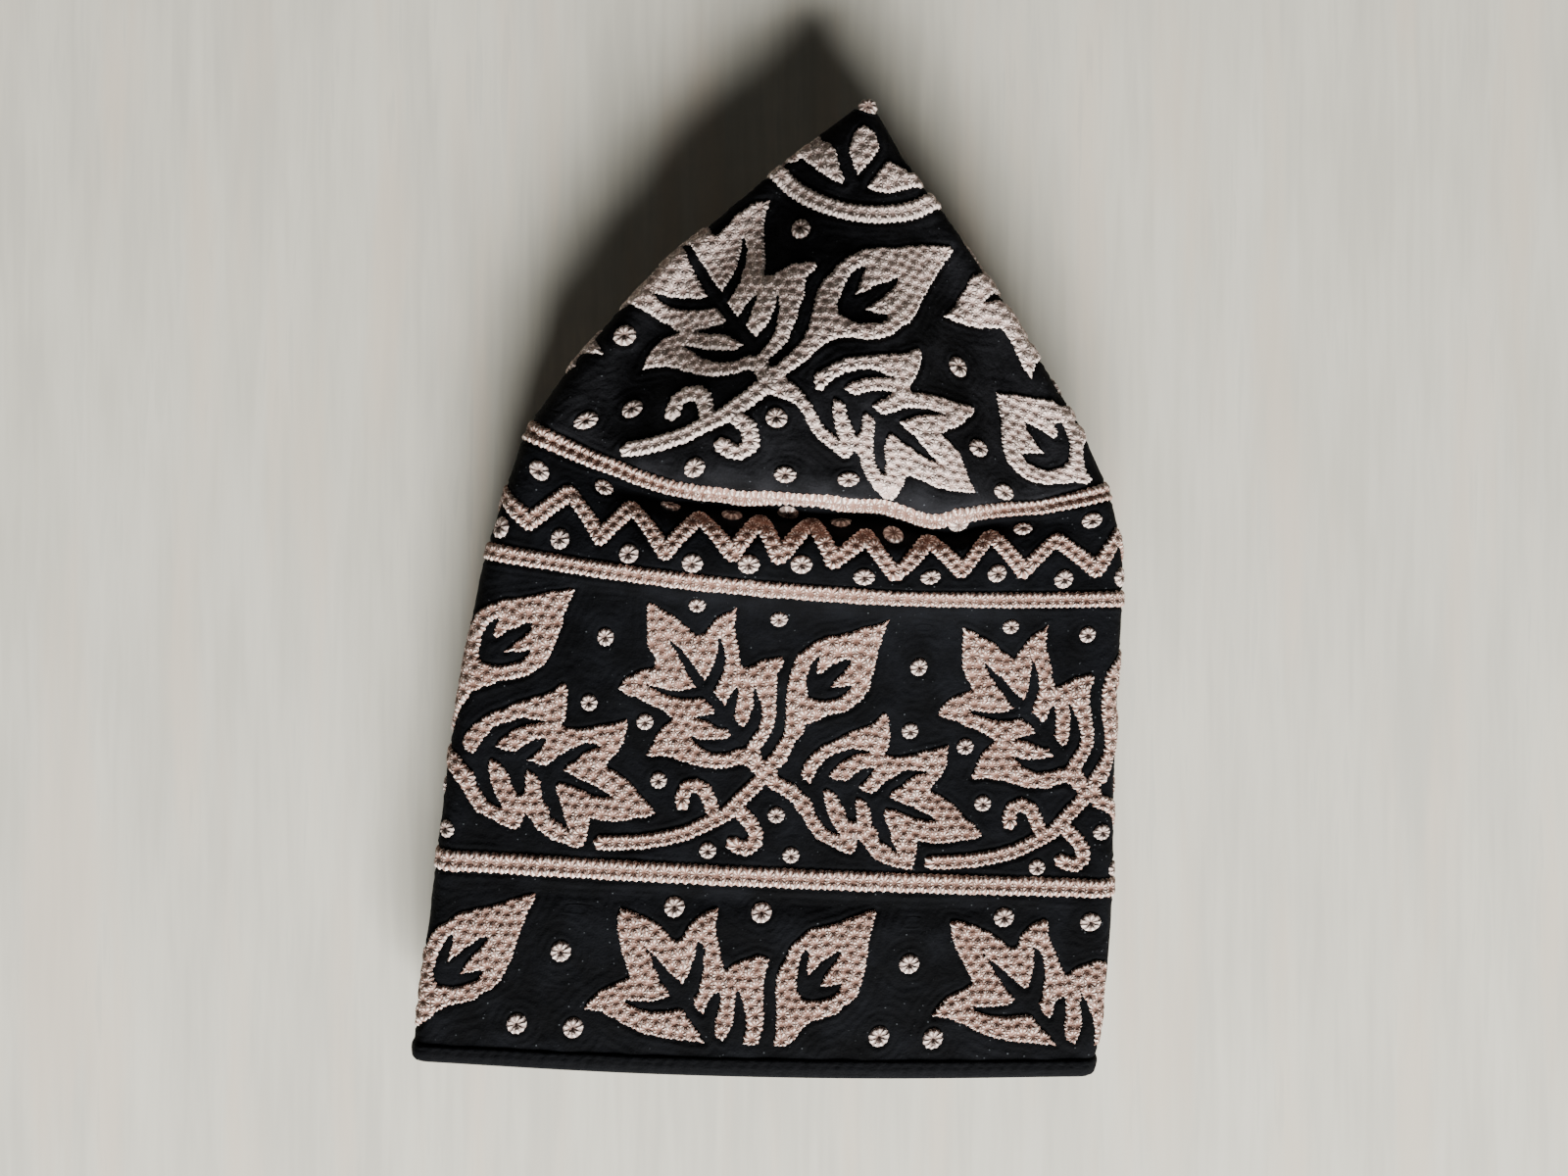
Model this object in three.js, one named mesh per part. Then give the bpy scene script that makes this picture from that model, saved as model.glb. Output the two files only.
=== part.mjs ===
// Omani kuma cap, folded flat to a quarter and lying on a table.
// Millimetres, +Z up. The hem points to -Y, the folded crown to +Y.
// Four sheets lie on each other: the face sheet on top, two gusset leaves
// on each side, and the under sheet on the floor.
import * as THREE from 'three';

// Driving sizes of the cap as sewn
const HEAD_ROUND = 560;
const CROWN_RADIUS = HEAD_ROUND / (2 * Math.PI);
const WALL_HEIGHT = 126.6;
const TIP_LEVEL = WALL_HEIGHT + CROWN_RADIUS;

// Cloth and seams
const CLOTH = 1.5;
const BINDING_CLOTH = 2.0;
const BINDING_HEIGHT = 4.2;
const SEAM_GAP = 0.35;

// Middle of the folded cap's footprint in the plan of the level table
const FOOTPRINT_MIDDLE = { x: -3.852, y: -1.189 };

// The two lower folds lie a little inside the two upper folds
const UNDER_FOLD_INSET = 1.5;
// Levels between which the gusset flattens out into the plain tip
const GUSSET_END = { from: 188, to: 204 };

// Levels are measured along the cloth, from the hem over the rim to the tip.
// midX, midY: middle of the level line in plan. halfWidth: to the side folds.
// tilt: degrees. sag: how far the ends lie past the middle, towards the tip.
// under, lowLeaf, highLeaf, faceEdge, faceMid: heights of the sheets' middles.
// innerFold: from the centre line to the middle of the inner folds.
const LEVELS = [
  { level: 0, midX: -6.6, midY: -99.3, halfWidth: 70.2, tilt: -0.8, sag: 0.4,
    under: 1.0, lowLeaf: 7.8, highLeaf: 10.4, faceEdge: 16.6, faceMid: 17.8, innerFold: 6.2 },
  { level: 4.5, midX: -6.0, midY: -94.8, halfWidth: 70.4, tilt: -0.9, sag: 0.2,
    under: 1.0, lowLeaf: 7.8, highLeaf: 10.4, faceEdge: 16.7, faceMid: 18.0, innerFold: 6.2 },
  { level: 8, midX: -5.5, midY: -91.3, halfWidth: 70.5, tilt: -1.0, sag: 0.1,
    under: 0.75, lowLeaf: 7.6, highLeaf: 10.1, faceEdge: 16.8, faceMid: 18.1, innerFold: 6.2 },
  { level: 20, midX: -4.0, midY: -79.3, halfWidth: 70.5, tilt: -1.3, sag: 0,
    under: 0.75, lowLeaf: 7.4, highLeaf: 9.8, faceEdge: 17.0, faceMid: 18.6, innerFold: 6.2 },
  { level: 39.5, midX: -2.0, midY: -59.6, halfWidth: 69.9, tilt: -2.4, sag: 0,
    under: 0.75, lowLeaf: 7.4, highLeaf: 9.8, faceEdge: 17.6, faceMid: 20.0, innerFold: 6.2 },
  { level: 60, midX: -0.6, midY: -39.4, halfWidth: 68.6, tilt: -3.3, sag: 0.4,
    under: 0.75, lowLeaf: 7.4, highLeaf: 9.8, faceEdge: 18.2, faceMid: 21.6, innerFold: 6.2 },
  { level: 80, midX: 1.3, midY: -20.1, halfWidth: 67.2, tilt: -3.8, sag: 1.4,
    under: 0.75, lowLeaf: 7.4, highLeaf: 9.8, faceEdge: 19.2, faceMid: 24.4, innerFold: 6.2 },
  { level: 95, midX: 3.2, midY: -5.2, halfWidth: 66.0, tilt: -4.1, sag: 2.4,
    under: 0.75, lowLeaf: 7.4, highLeaf: 9.8, faceEdge: 20.2, faceMid: 27.6, innerFold: 6.2 },
  { level: 102, midX: 4.0, midY: -0.2, halfWidth: 65.3, tilt: -4.3, sag: 3.4,
    under: 0.75, lowLeaf: 7.4, highLeaf: 9.8, faceEdge: 20.8, faceMid: 31.4, innerFold: 6.2 },
  { level: 113, midX: 5.4, midY: 8.4, halfWidth: 63.3, tilt: -4.9, sag: 5.6,
    under: 0.75, lowLeaf: 7.4, highLeaf: 9.8, faceEdge: 21.4, faceMid: 32.6, innerFold: 6.2 },
  { level: 126.6, midX: 5.9, midY: 16.2, halfWidth: 60.0, tilt: -6.1, sag: 9.5,
    under: 0.75, lowLeaf: 7.4, highLeaf: 9.8, faceEdge: 22.0, faceMid: 34.0, innerFold: 6.2 },
  { level: 132, midX: 6.2, midY: 19.2, halfWidth: 57.2, tilt: -6.6, sag: 11.9,
    under: 0.95, lowLeaf: 7.6, highLeaf: 10.0, faceEdge: 22.2, faceMid: 37.2, innerFold: 6.2 },
  { level: 143, midX: 7.2, midY: 26.9, halfWidth: 50.8, tilt: -7.7, sag: 14.6,
    under: 2.2, lowLeaf: 8.6, highLeaf: 11.0, faceEdge: 22.3, faceMid: 39.4, innerFold: 6.2 },
  { level: 163, midX: 8.8, midY: 45.6, halfWidth: 37.4, tilt: -8.7, sag: 13.4,
    under: 6.2, lowLeaf: 11.6, highLeaf: 14.0, faceEdge: 23.0, faceMid: 36.8, innerFold: 6.2 },
  { level: 178, midX: 11.0, midY: 59.8, halfWidth: 26.4, tilt: -9.4, sag: 10.8,
    under: 9.8, lowLeaf: 14.0, highLeaf: 16.4, faceEdge: 23.4, faceMid: 32.4, innerFold: 6.0 },
  { level: 190.5, midX: 12.8, midY: 72.6, halfWidth: 17.1, tilt: -10.6, sag: 8.0,
    under: 12.4, lowLeaf: 16.2, highLeaf: 18.6, faceEdge: 23.2, faceMid: 28.0, innerFold: 5.6 },
  { level: 201, midX: 14.2, midY: 84.4, halfWidth: 9.5, tilt: -11.0, sag: 4.4,
    under: 15.0, lowLeaf: 17.4, highLeaf: 19.6, faceEdge: 22.6, faceMid: 24.6, innerFold: 5.0 },
  { level: 209, midX: 15.8, midY: 92.6, halfWidth: 4.6, tilt: -11.0, sag: 1.6,
    under: 16.4, lowLeaf: 18.4, highLeaf: 19.2, faceEdge: 21.4, faceMid: 22.0, innerFold: 3.0 },
  { level: TIP_LEVEL, midX: 16.8, midY: 97.6, halfWidth: 1.2, tilt: -11.0, sag: 0,
    under: 18.8, lowLeaf: 19.2, highLeaf: 19.6, faceEdge: 20.2, faceMid: 20.4, innerFold: 1.0 },
];

// Buckles of the face sheet: bumps of the given rise, round in plan.
// across: place as a share of the half width, reach: half lengths in mm and as a share.
const BUCKLES = [
  { name: 'tuck under the rim', level: 121.5, reach: 4.6, across: 0.05, spread: 0.62, rise: -6.4 },
  { name: 'roll above the rim', level: 132, reach: 5, across: 0.0, spread: 0.55, rise: 1.6 },
  { name: 'shelf at the zigzag', level: 108, reach: 6, across: -0.25, spread: 0.4, rise: 1.2 },
  { name: 'dip left of the stem', level: 74, reach: 15, across: -0.38, spread: 0.1, rise: -1.2 },
  { name: 'dip right of the stem', level: 72, reach: 16, across: 0.52, spread: 0.1, rise: -1.0 },
  { name: 'crease at the lower border', level: 36, reach: 3, across: 0.0, spread: 0.8, rise: -0.8 },
  { name: 'hollow in the crown', level: 160, reach: 9, across: -0.5, spread: 0.3, rise: -1.4 },
  { name: 'swell of the crown leaf', level: 158, reach: 12, across: 0.1, spread: 0.3, rise: 1.2 },
];

// Side waves of the rim in plan: shift towards the tip.
const WAVES = [
  { level: 127, reach: 10, across: 0.2, spread: 0.13, shift: 1.6 },
  { level: 126, reach: 9, across: 0.42, spread: 0.12, shift: -2.2 },
  { level: 126, reach: 9, across: -0.45, spread: 0.2, shift: -1.4 },
  { level: 113, reach: 7, across: 0.3, spread: 0.16, shift: -1.6 },
];

// Number of straight pieces in each stretch of the loop
const STEPS = { face: 24, outerFold: 5, leaf: 5, innerFold: 4, under: 10 };

function smooth(t) {
  const s = Math.min(1, Math.max(0, t));
  return s * s * (3 - 2 * s);
}

// Monotone cubic slopes, so that a column never swings past its rows
function slopes(name) {
  const n = LEVELS.length;
  const secant = [];
  for (let i = 0; i < n - 1; i++) {
    const step = LEVELS[i + 1].level - LEVELS[i].level;
    secant.push((LEVELS[i + 1][name] - LEVELS[i][name]) / step);
  }
  const slope = [secant[0]];
  for (let i = 1; i < n - 1; i++) {
    const a = secant[i - 1];
    const b = secant[i];
    slope.push(a * b <= 0 ? 0 : (2 * a * b) / (a + b));
  }
  slope.push(secant[n - 2]);
  return slope;
}

const COLUMNS = Object.keys(LEVELS[0]).filter((name) => name !== 'level');
const SLOPES = Object.fromEntries(COLUMNS.map((name) => [name, slopes(name)]));

// All columns of the level table at one level
function rowAt(level) {
  let i = 0;
  while (i < LEVELS.length - 2 && level > LEVELS[i + 1].level) i++;
  const step = LEVELS[i + 1].level - LEVELS[i].level;
  const t = (level - LEVELS[i].level) / step;
  const row = {};
  for (const name of COLUMNS) {
    const a = LEVELS[i][name];
    const b = LEVELS[i + 1][name];
    const sa = SLOPES[name][i] * step;
    const sb = SLOPES[name][i + 1] * step;
    row[name] = a * (1 + 2 * t) * (1 - t) ** 2 + sa * t * (1 - t) ** 2
      + b * t * t * (3 - 2 * t) + sb * t * t * (t - 1);
  }
  return row;
}

function bell(distance, reach) {
  return Math.exp(-((distance / reach) ** 2));
}

// Height of the face sheet between its two folds, across in -1 .. 1
function faceHeight(row, level, across) {
  const dome = (1 - Math.abs(across) ** 2.6) ** 2;
  let height = row.faceEdge + (row.faceMid - row.faceEdge) * dome;
  const fade = 1 - Math.abs(across) ** 6;
  for (const b of BUCKLES) {
    height += fade * b.rise * bell(level - b.level, b.reach) * bell(across - b.across, b.spread);
  }
  return height;
}

// The stretches of the folded loop, walked from the left end of the face sheet
function stretches() {
  const list = [];
  const add = (kind, side, steps) => {
    for (let i = 0; i < steps; i++) list.push({ kind, side, t: i / steps });
  };
  add('face', 0, STEPS.face);
  add('highOuter', 1, STEPS.outerFold);
  add('highLeaf', 1, STEPS.leaf);
  add('inner', 1, STEPS.innerFold);
  add('lowLeaf', 1, STEPS.leaf);
  add('lowOuter', 1, STEPS.outerFold);
  add('under', 0, STEPS.under);
  add('lowOuter', -1, STEPS.outerFold);
  add('lowLeaf', -1, STEPS.leaf);
  add('inner', -1, STEPS.innerFold);
  add('highLeaf', -1, STEPS.leaf);
  add('highOuter', -1, STEPS.outerFold);
  return list;
}

const LOOP = stretches();

// Middle of the cloth at one place of the gusseted loop: x across, z up
function gussetPoint(row, level, place) {
  const { kind, side, t } = place;
  const highRadius = (row.faceEdge - row.highLeaf) / 2;
  const lowRadius = (row.lowLeaf - row.under) / 2;
  const innerRadius = (row.highLeaf - row.lowLeaf) / 2;
  const outer = row.halfWidth - CLOTH / 2;
  const highX = outer - highRadius;
  const lowX = outer - UNDER_FOLD_INSET * smooth(row.halfWidth / 30) - lowRadius;
  const innerX = Math.min(row.innerFold, lowX, highX);
  // On the left side the loop runs the other way round
  const turn = side > 0 ? t : 1 - t;
  if (kind === 'face') {
    const across = -1 + 2 * t;
    return { x: across * highX, z: faceHeight(row, level, across) };
  }
  if (kind === 'highOuter') {
    const angle = Math.PI / 2 - turn * Math.PI;
    const z = (row.faceEdge + row.highLeaf) / 2 + highRadius * Math.sin(angle);
    return { x: side * (highX + highRadius * Math.cos(angle)), z };
  }
  if (kind === 'highLeaf') {
    return { x: side * (highX + (innerX - highX) * turn), z: row.highLeaf };
  }
  if (kind === 'inner') {
    const angle = Math.PI / 2 - turn * Math.PI;
    const z = (row.highLeaf + row.lowLeaf) / 2 + innerRadius * Math.sin(angle);
    return { x: side * (innerX - innerRadius * Math.cos(angle)), z };
  }
  if (kind === 'lowLeaf') {
    return { x: side * (innerX + (lowX - innerX) * turn), z: row.lowLeaf };
  }
  if (kind === 'lowOuter') {
    const angle = Math.PI / 2 - turn * Math.PI;
    const z = (row.lowLeaf + row.under) / 2 + lowRadius * Math.sin(angle);
    return { x: side * (lowX + lowRadius * Math.cos(angle)), z };
  }
  return { x: lowX * (1 - 2 * t), z: row.under };
}

// Angles at which the stretches meet on the plain oval of the tip
const OVAL = {
  face: [155, 25], highOuter: [25, 12], highLeaf: [12, 4], inner: [4, -4],
  lowLeaf: [-4, -12], lowOuter: [-12, -25], under: [-25, -155],
};

function ovalPoint(row, place) {
  const { kind, side, t } = place;
  const [from, to] = OVAL[kind];
  const turn = side < 0 ? 1 - t : t;
  const angle = THREE.MathUtils.degToRad(from + (to - from) * turn);
  const width = row.halfWidth - CLOTH / 2;
  const half = (row.faceMid - row.under) / 2;
  const x = (side < 0 ? -1 : 1) * width * Math.cos(angle);
  return { x, z: (row.faceMid + row.under) / 2 + half * Math.sin(angle) };
}

// Middle of the cloth in space
function clothPoint(level, place) {
  const row = rowAt(level);
  const gusset = gussetPoint(row, level, place);
  const plain = ovalPoint(row, place);
  const blend = smooth((level - GUSSET_END.from) / (GUSSET_END.to - GUSSET_END.from));
  const x = gusset.x + (plain.x - gusset.x) * blend;
  const z = gusset.z + (plain.z - gusset.z) * blend;
  const across = x / row.halfWidth;
  let along = row.sag * across * across;
  for (const w of WAVES) {
    along += w.shift * bell(level - w.level, w.reach) * bell(across - w.across, w.spread);
  }
  const tilt = THREE.MathUtils.degToRad(row.tilt);
  return new THREE.Vector3(
    row.midX + x * Math.cos(tilt) - along * Math.sin(tilt),
    row.midY + x * Math.sin(tilt) + along * Math.cos(tilt),
    z,
  );
}

// A place a little further round the loop, within its own stretch or the next
function placeBeside(index, share) {
  const here = LOOP[index];
  const next = LOOP[(index + 1) % LOOP.length];
  const end = next.kind === here.kind && next.side === here.side ? next.t : 1;
  return { kind: here.kind, side: here.side, t: here.t + (end - here.t) * share };
}

// Outward direction of the cloth, from a short step round the loop and one up it
function outward(level, index) {
  const last = (index + LOOP.length - 1) % LOOP.length;
  const share = 0.04;
  const around = clothPoint(level, placeBeside(index, share))
    .sub(clothPoint(level, placeBeside(last, 1 - share)));
  const up = clothPoint(level + 0.2, LOOP[index]).sub(clothPoint(level - 0.2, LOOP[index]));
  return around.cross(up).normalize();
}

// A closed shell between two offsets of the cloth, from the first level to the last
function shell(rows, closedTip) {
  const count = LOOP.length;
  const outer = [];
  const inner = [];
  for (const { level, half } of rows) {
    for (let i = 0; i < count; i++) {
      const middle = clothPoint(level, LOOP[i]);
      const normal = outward(level, i);
      outer.push(middle.clone().addScaledVector(normal, half));
      inner.push(middle.clone().addScaledVector(normal, -half));
    }
  }
  const points = [...outer, ...inner];
  const innerStart = outer.length;
  const faces = [];
  const quad = (a, b, c, d) => {
    faces.push(a, b, c, a, c, d);
  };
  const top = rows.length - 1;
  for (let r = 0; r < top; r++) {
    for (let i = 0; i < count; i++) {
      const j = (i + 1) % count;
      const a = r * count + i;
      const b = r * count + j;
      const c = a + count;
      const d = b + count;
      quad(a, b, d, c);
      quad(innerStart + a, innerStart + c, innerStart + d, innerStart + b);
    }
  }
  for (let i = 0; i < count; i++) {
    const j = (i + 1) % count;
    quad(i, innerStart + i, innerStart + j, j);
    if (!closedTip) {
      const a = top * count + i;
      const b = top * count + j;
      quad(a, b, innerStart + b, innerStart + a);
    }
  }
  if (closedTip) {
    const outerTip = points.length;
    points.push(closedTip.outer);
    const innerTip = points.length;
    points.push(closedTip.inner);
    for (let i = 0; i < count; i++) {
      const j = (i + 1) % count;
      const a = top * count + i;
      const b = top * count + j;
      faces.push(a, b, outerTip);
      faces.push(innerStart + a, innerTip, innerStart + b);
    }
  }
  const geometry = new THREE.BufferGeometry();
  const numbers = points.flatMap((p) => [p.x, p.y, p.z]);
  geometry.setAttribute('position', new THREE.Float32BufferAttribute(numbers, 3));
  geometry.setIndex(faces);
  geometry.computeVertexNormals();
  return geometry;
}

const half = CLOTH / 2;
const bindingHalf = BINDING_CLOTH / 2;

const hemBinding = shell([
  { level: 0, half: bindingHalf * 0.55 },
  { level: 0.8, half: bindingHalf },
  { level: BINDING_HEIGHT - 0.8, half: bindingHalf },
  { level: BINDING_HEIGHT, half: bindingHalf * 0.8 },
], null);

const bandLevels = [
  BINDING_HEIGHT + SEAM_GAP, 9, 20, 31, 39.5, 54, 68, 82, 93, 98, 102, 107, 113, 118, 121.5, 124.5,
  WALL_HEIGHT - SEAM_GAP / 2,
];
const sideBand = shell(bandLevels.map((level) => ({ level, half })), null);

const crownLevels = [
  WALL_HEIGHT + SEAM_GAP / 2, 129, 132, 137, 145, 154, 163, 172, 181, 188, 193, 198, 203, 207.5, 211.5,
];

// Middle of the cap's section at one level
function core(level) {
  const row = rowAt(level);
  return new THREE.Vector3(row.midX, row.midY, (row.faceMid + row.under) / 2);
}

const crown = shell(crownLevels.map((level) => ({ level, half })), {
  outer: core(TIP_LEVEL),
  inner: core(crownLevels.at(-1) - 0.5),
});

function cloth(name, geometry, colour) {
  const material = new THREE.MeshStandardMaterial({ color: colour, roughness: 0.95, metalness: 0 });
  const mesh = new THREE.Mesh(geometry, material);
  mesh.name = name;
  mesh.position.set(-FOOTPRINT_MIDDLE.x, -FOOTPRINT_MIDDLE.y, 0);
  return mesh;
}

const cap = new THREE.Group();
cap.add(cloth('hem_binding', hemBinding, 0x121417));
cap.add(cloth('side_band', sideBand, 0x1a1b20));
cap.add(cloth('crown', crown, 0x1a1b20));

export default cap;
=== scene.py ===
"""Omani kuma cap, folded flat to a quarter and lying on a pale table top.

The cap is one folded loop of cloth: a face sheet on top, two gusset leaves on
each side and an under sheet on the table. Every place on it has a level, in
millimetres along the cloth from the hem over the rim to the tip, and a
station, which counts the twelve stretches of the loop from the left end of
the face sheet. The embroidery is laid out flat, in millimetres of cloth, and
then carried onto the folded cloth as raised stitching.
"""

import functools
import math

import bpy
import numpy as np
from bpy.props import FloatProperty, FloatVectorProperty, IntProperty, PointerProperty
from mathutils.kdtree import KDTree
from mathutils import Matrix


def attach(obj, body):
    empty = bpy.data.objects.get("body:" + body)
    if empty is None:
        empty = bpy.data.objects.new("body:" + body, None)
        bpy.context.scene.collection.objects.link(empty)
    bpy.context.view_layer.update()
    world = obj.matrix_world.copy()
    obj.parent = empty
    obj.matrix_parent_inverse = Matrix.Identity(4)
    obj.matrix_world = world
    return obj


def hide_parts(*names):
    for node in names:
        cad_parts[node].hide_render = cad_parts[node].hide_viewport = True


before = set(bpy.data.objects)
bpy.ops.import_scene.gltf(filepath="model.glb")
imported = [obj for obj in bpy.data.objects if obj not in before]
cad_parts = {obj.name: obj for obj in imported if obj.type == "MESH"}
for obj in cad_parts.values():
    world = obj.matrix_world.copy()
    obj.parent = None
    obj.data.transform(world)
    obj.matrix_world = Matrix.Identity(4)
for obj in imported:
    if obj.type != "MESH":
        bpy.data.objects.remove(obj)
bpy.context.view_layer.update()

bl_info = {
    "name": "Folded Kuma Cap",
    "version": (1, 0, 0),
    "blender": (4, 5, 0),
    "location": "View3D > Sidebar > Kuma Cap",
    "description": "Builds an embroidered kuma cap, folded flat to a quarter",
    "category": "Object",
}

# The cap as sewn, in millimetres
MM = 0.001
HEAD_ROUND = 560
CROWN_RADIUS = HEAD_ROUND / (2 * math.pi)
WALL_HEIGHT = 126.6
TIP_LEVEL = WALL_HEIGHT + CROWN_RADIUS
CLOTH = 1.5
BINDING_HEIGHT = 4.2
# The middle of the footprint in the level table, which is moved to the origin
FOOTPRINT_MIDDLE = (-3.852, -1.189)
# How much narrower the under fold is than the upper one
UNDER_FOLD_INSET = 1.5
# Between these levels the folds run out into an oval that closes at the tip
GUSSET_END = (188, 204)
# The last level of the black cloth, the last that a flat place is carried to, and the last
# level and the stations between which a charted place is looked for
CLOTH_TOP = 212.5
DISC_TOP = 213
CHART_TOP = 212
CHART_STATIONS = (-0.6, 1.6)
# Nothing lies lower than this above the table
TABLE_GAP = 0.02

# The camera looks straight down from this place, in millimetres
CAMERA_PLACE = (3.852, 1.189, 270.3)
CAMERA_LENS = 28.5
SENSOR_WIDTH = 36.0
PICTURE_WIDTH = 1600
PICTURE_HEIGHT = 1200

# The window light: its place in metres from the middle of the table, its width and height,
# its tint, and the tint of the light from all round
WINDOW_PLACE = (0.24, -1.56, 0.74)
WINDOW_SIZE = (1.12, 0.7)
WINDOW_TINT = (1.0, 0.985, 0.965)
ROOM_TINT = (0.95, 0.93, 0.88)
# Half the width of the table top in millimetres
TABLE_HALF = 1500.0

# Levels along the cloth with the middle of the level line in plan, the half
# width to the side folds, its tilt in degrees, how far its ends lie past the
# middle, the heights of the sheets and the place of the inner folds.
LEVEL_COLUMNS = ("level", "mid_x", "mid_y", "half_width", "tilt", "sag",
                 "under", "low_leaf", "high_leaf", "face_edge", "face_mid", "inner_fold")
LEVELS = (
    (0, -6.6, -100.2, 70.2, -1.3, 1.3, 1.0, 7.8, 10.4, 16.6, 17.8, 6.2),
    (4.5, -6.0, -95.5, 70.4, -1.3, 0.9, 1.0, 7.8, 10.4, 16.7, 18.0, 6.2),
    (8, -5.5, -91.7, 70.5, -1.2, 0.6, 0.75, 7.6, 10.1, 16.8, 18.1, 6.2),
    (20, -4.0, -79.3, 70.5, -1.3, 0.2, 0.75, 7.4, 9.8, 17.0, 18.6, 6.2),
    (39.5, -2.0, -59.6, 69.9, -2.4, 0, 0.75, 7.4, 9.8, 17.6, 20.0, 6.2),
    (60, -0.6, -39.4, 68.6, -3.3, 0.4, 0.75, 7.4, 9.8, 18.2, 21.6, 6.2),
    (80, 1.3, -20.1, 67.2, -3.8, 1.4, 0.75, 7.4, 9.8, 19.2, 24.4, 6.2),
    (95, 3.2, -5.2, 66.0, -4.1, 2.4, 0.75, 7.4, 9.8, 20.2, 27.6, 6.2),
    (102, 4.0, -0.2, 65.3, -4.3, 3.4, 0.75, 7.4, 9.8, 20.8, 31.4, 6.2),
    (113, 5.4, 8.4, 63.3, -4.9, 5.6, 0.75, 7.4, 9.8, 21.4, 32.6, 6.2),
    (126.6, 5.9, 16.2, 60.0, -6.1, 9.5, 0.75, 7.4, 9.8, 22.0, 34.0, 6.2),
    (132, 6.2, 19.2, 57.2, -6.6, 11.9, 0.95, 7.6, 10.0, 22.2, 37.2, 6.2),
    (143, 7.2, 26.9, 50.8, -7.7, 14.6, 2.2, 8.6, 11.0, 22.3, 39.4, 6.2),
    (163, 8.8, 45.6, 37.4, -8.7, 13.4, 6.2, 11.6, 14.0, 23.0, 36.8, 6.2),
    (178, 11.0, 59.8, 26.4, -9.4, 10.8, 9.8, 14.0, 16.4, 23.4, 32.4, 6.0),
    (190.5, 12.8, 72.6, 17.1, -10.6, 8.0, 12.4, 16.2, 18.6, 23.2, 28.0, 5.6),
    (201, 14.2, 84.4, 9.5, -11.0, 4.4, 15.0, 17.4, 19.6, 22.6, 24.6, 5.0),
    (209, 15.8, 92.6, 4.6, -11.0, 1.6, 16.4, 18.4, 19.2, 21.4, 22.0, 3.0),
    (TIP_LEVEL, 16.8, 97.6, 1.2, -11.0, 0, 18.8, 19.2, 19.6, 20.2, 20.4, 1.0),
)

# Buckles of the face sheet: level, reach along the cloth in mm, place across
# and spread as shares of the half width, rise in mm.
BUCKLES = (
    (121.5, 4.6, 0.05, 0.62, -6.4),
    (132, 5, 0.0, 0.55, 1.6),
    (108, 6, -0.25, 0.4, 1.2),
    (74, 15, -0.38, 0.1, -1.2),
    (72, 16, 0.52, 0.1, -1.0),
    (36, 3, 0.0, 0.8, -0.8),
    (160, 9, -0.5, 0.3, -1.4),
    (158, 12, 0.1, 0.3, 1.2),
)

# Side waves of the rim in plan: level, reach, place across, spread, shift.
WAVES = (
    (127, 10, 0.2, 0.13, 1.6),
    (126, 9, 0.42, 0.12, -2.2),
    (126, 9, -0.45, 0.2, -1.4),
    (113, 7, 0.3, 0.16, -1.6),
)

# The twelve stretches of the loop, and the side each lies on
STRETCHES = ("face", "high_outer", "high_leaf", "inner", "low_leaf", "low_outer",
             "under", "low_outer", "low_leaf", "inner", "high_leaf", "high_outer")
SIDES = np.array([0, 1, 1, 1, 1, 1, 0, -1, -1, -1, -1, -1])
OVAL = {"face": (155, 25), "high_outer": (25, 12), "high_leaf": (12, 4), "inner": (4, -4),
        "low_leaf": (-4, -12), "low_outer": (-12, -25), "under": (-25, -155)}
# A station is a place round the loop, counted in stretches. The sheets' middles lie here.
STATIONS = 12
FACE_MIDDLE = 0.5
UNDER_MIDDLE = 6.5
# Sheets with embroidery: the name, the middle, and how many steps of the flat grid a mesh takes
SHEETS = (("face", FACE_MIDDLE, 1), ("under", UNDER_MIDDLE, 2))
# Embroidery is made as far as this many stations from the middle of its sheet
SHOWN_STATIONS = 1.3

# Steps of the black cloth: along its levels in millimetres, how many of its rows and columns
# the inside takes one of, and the numbers of steps of the folds, leaves, inner folds and
# under sheet
CLOTH_ROW = 0.62
INSIDE_ROWS = 6
INSIDE_COLUMNS = 4
CLOTH_STEPS = (14, 8, 6, 90)
# Steps of the binding round the face, folds, leaves, inner folds and under sheet
BINDING_STEPS = (230, 14, 20, 8, 120)

# Sizes in millimetres of cloth unless they say otherwise. First one step of the charts.
CHART_STEP = 0.195
# The grid of the embroidery laid flat: its pitch, how far it knows the distance to a
# stitched edge, half its width on the wall, and its two corners on the crown's disc
FIELD_STEP = 0.32
FIELD_REACH = 7.0
WALL_SPAN = 84.0
CROWN_CORNERS = ((-72, -90), (72, 4))
# The little stitched rings: their pitch, the share of it between their rows, the padding's
# height, the depth of their pits and the number of threads round each
CELL_PITCH = 2.1
CELL_ROWS = 0.87
PAD_HEIGHT = 0.62
WALL_PIT_DEPTH = 0.4
CROWN_PIT_DEPTH = 0.25
THREADS = 9
# How far the edge of the stitching moves with the threads' ends and with the rings
SERRATION = 0.2
SCALLOP = 0.45
# The quilting lines round the embroidery, and the seam between wall and crown
ECHO_SPACING = 1.8
SEAM_DEPTH = 0.45

# Level and width of one repeat of the wall's pattern, on the face sheet
WALL_REPEATS = ((0, 73.0), (8.5, 72.3), (24, 69.8), (34, 67.6), (58, 65.9), (72, 65.1),
                (86, 63.0), (95, 62.6), (126, 62.0))
# How far the repeats to the left and to the right stand off their even places, along the
# wall and up it, and the share by which they spread beyond a place near the left fold
WALL_OFF = ((0.4, 1.2, 0.18), (0.0, -0.8, 0.0))
HEM_OFF = ((-0.9, 0.6, 0.1), (-0.8, 0.0, 0.0))
SPREAD_START = -42.0
SPREAD_REACH = 34.0
# The embroidery stops at this level over the binding
HEM_CLEAR = 5.2
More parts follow.
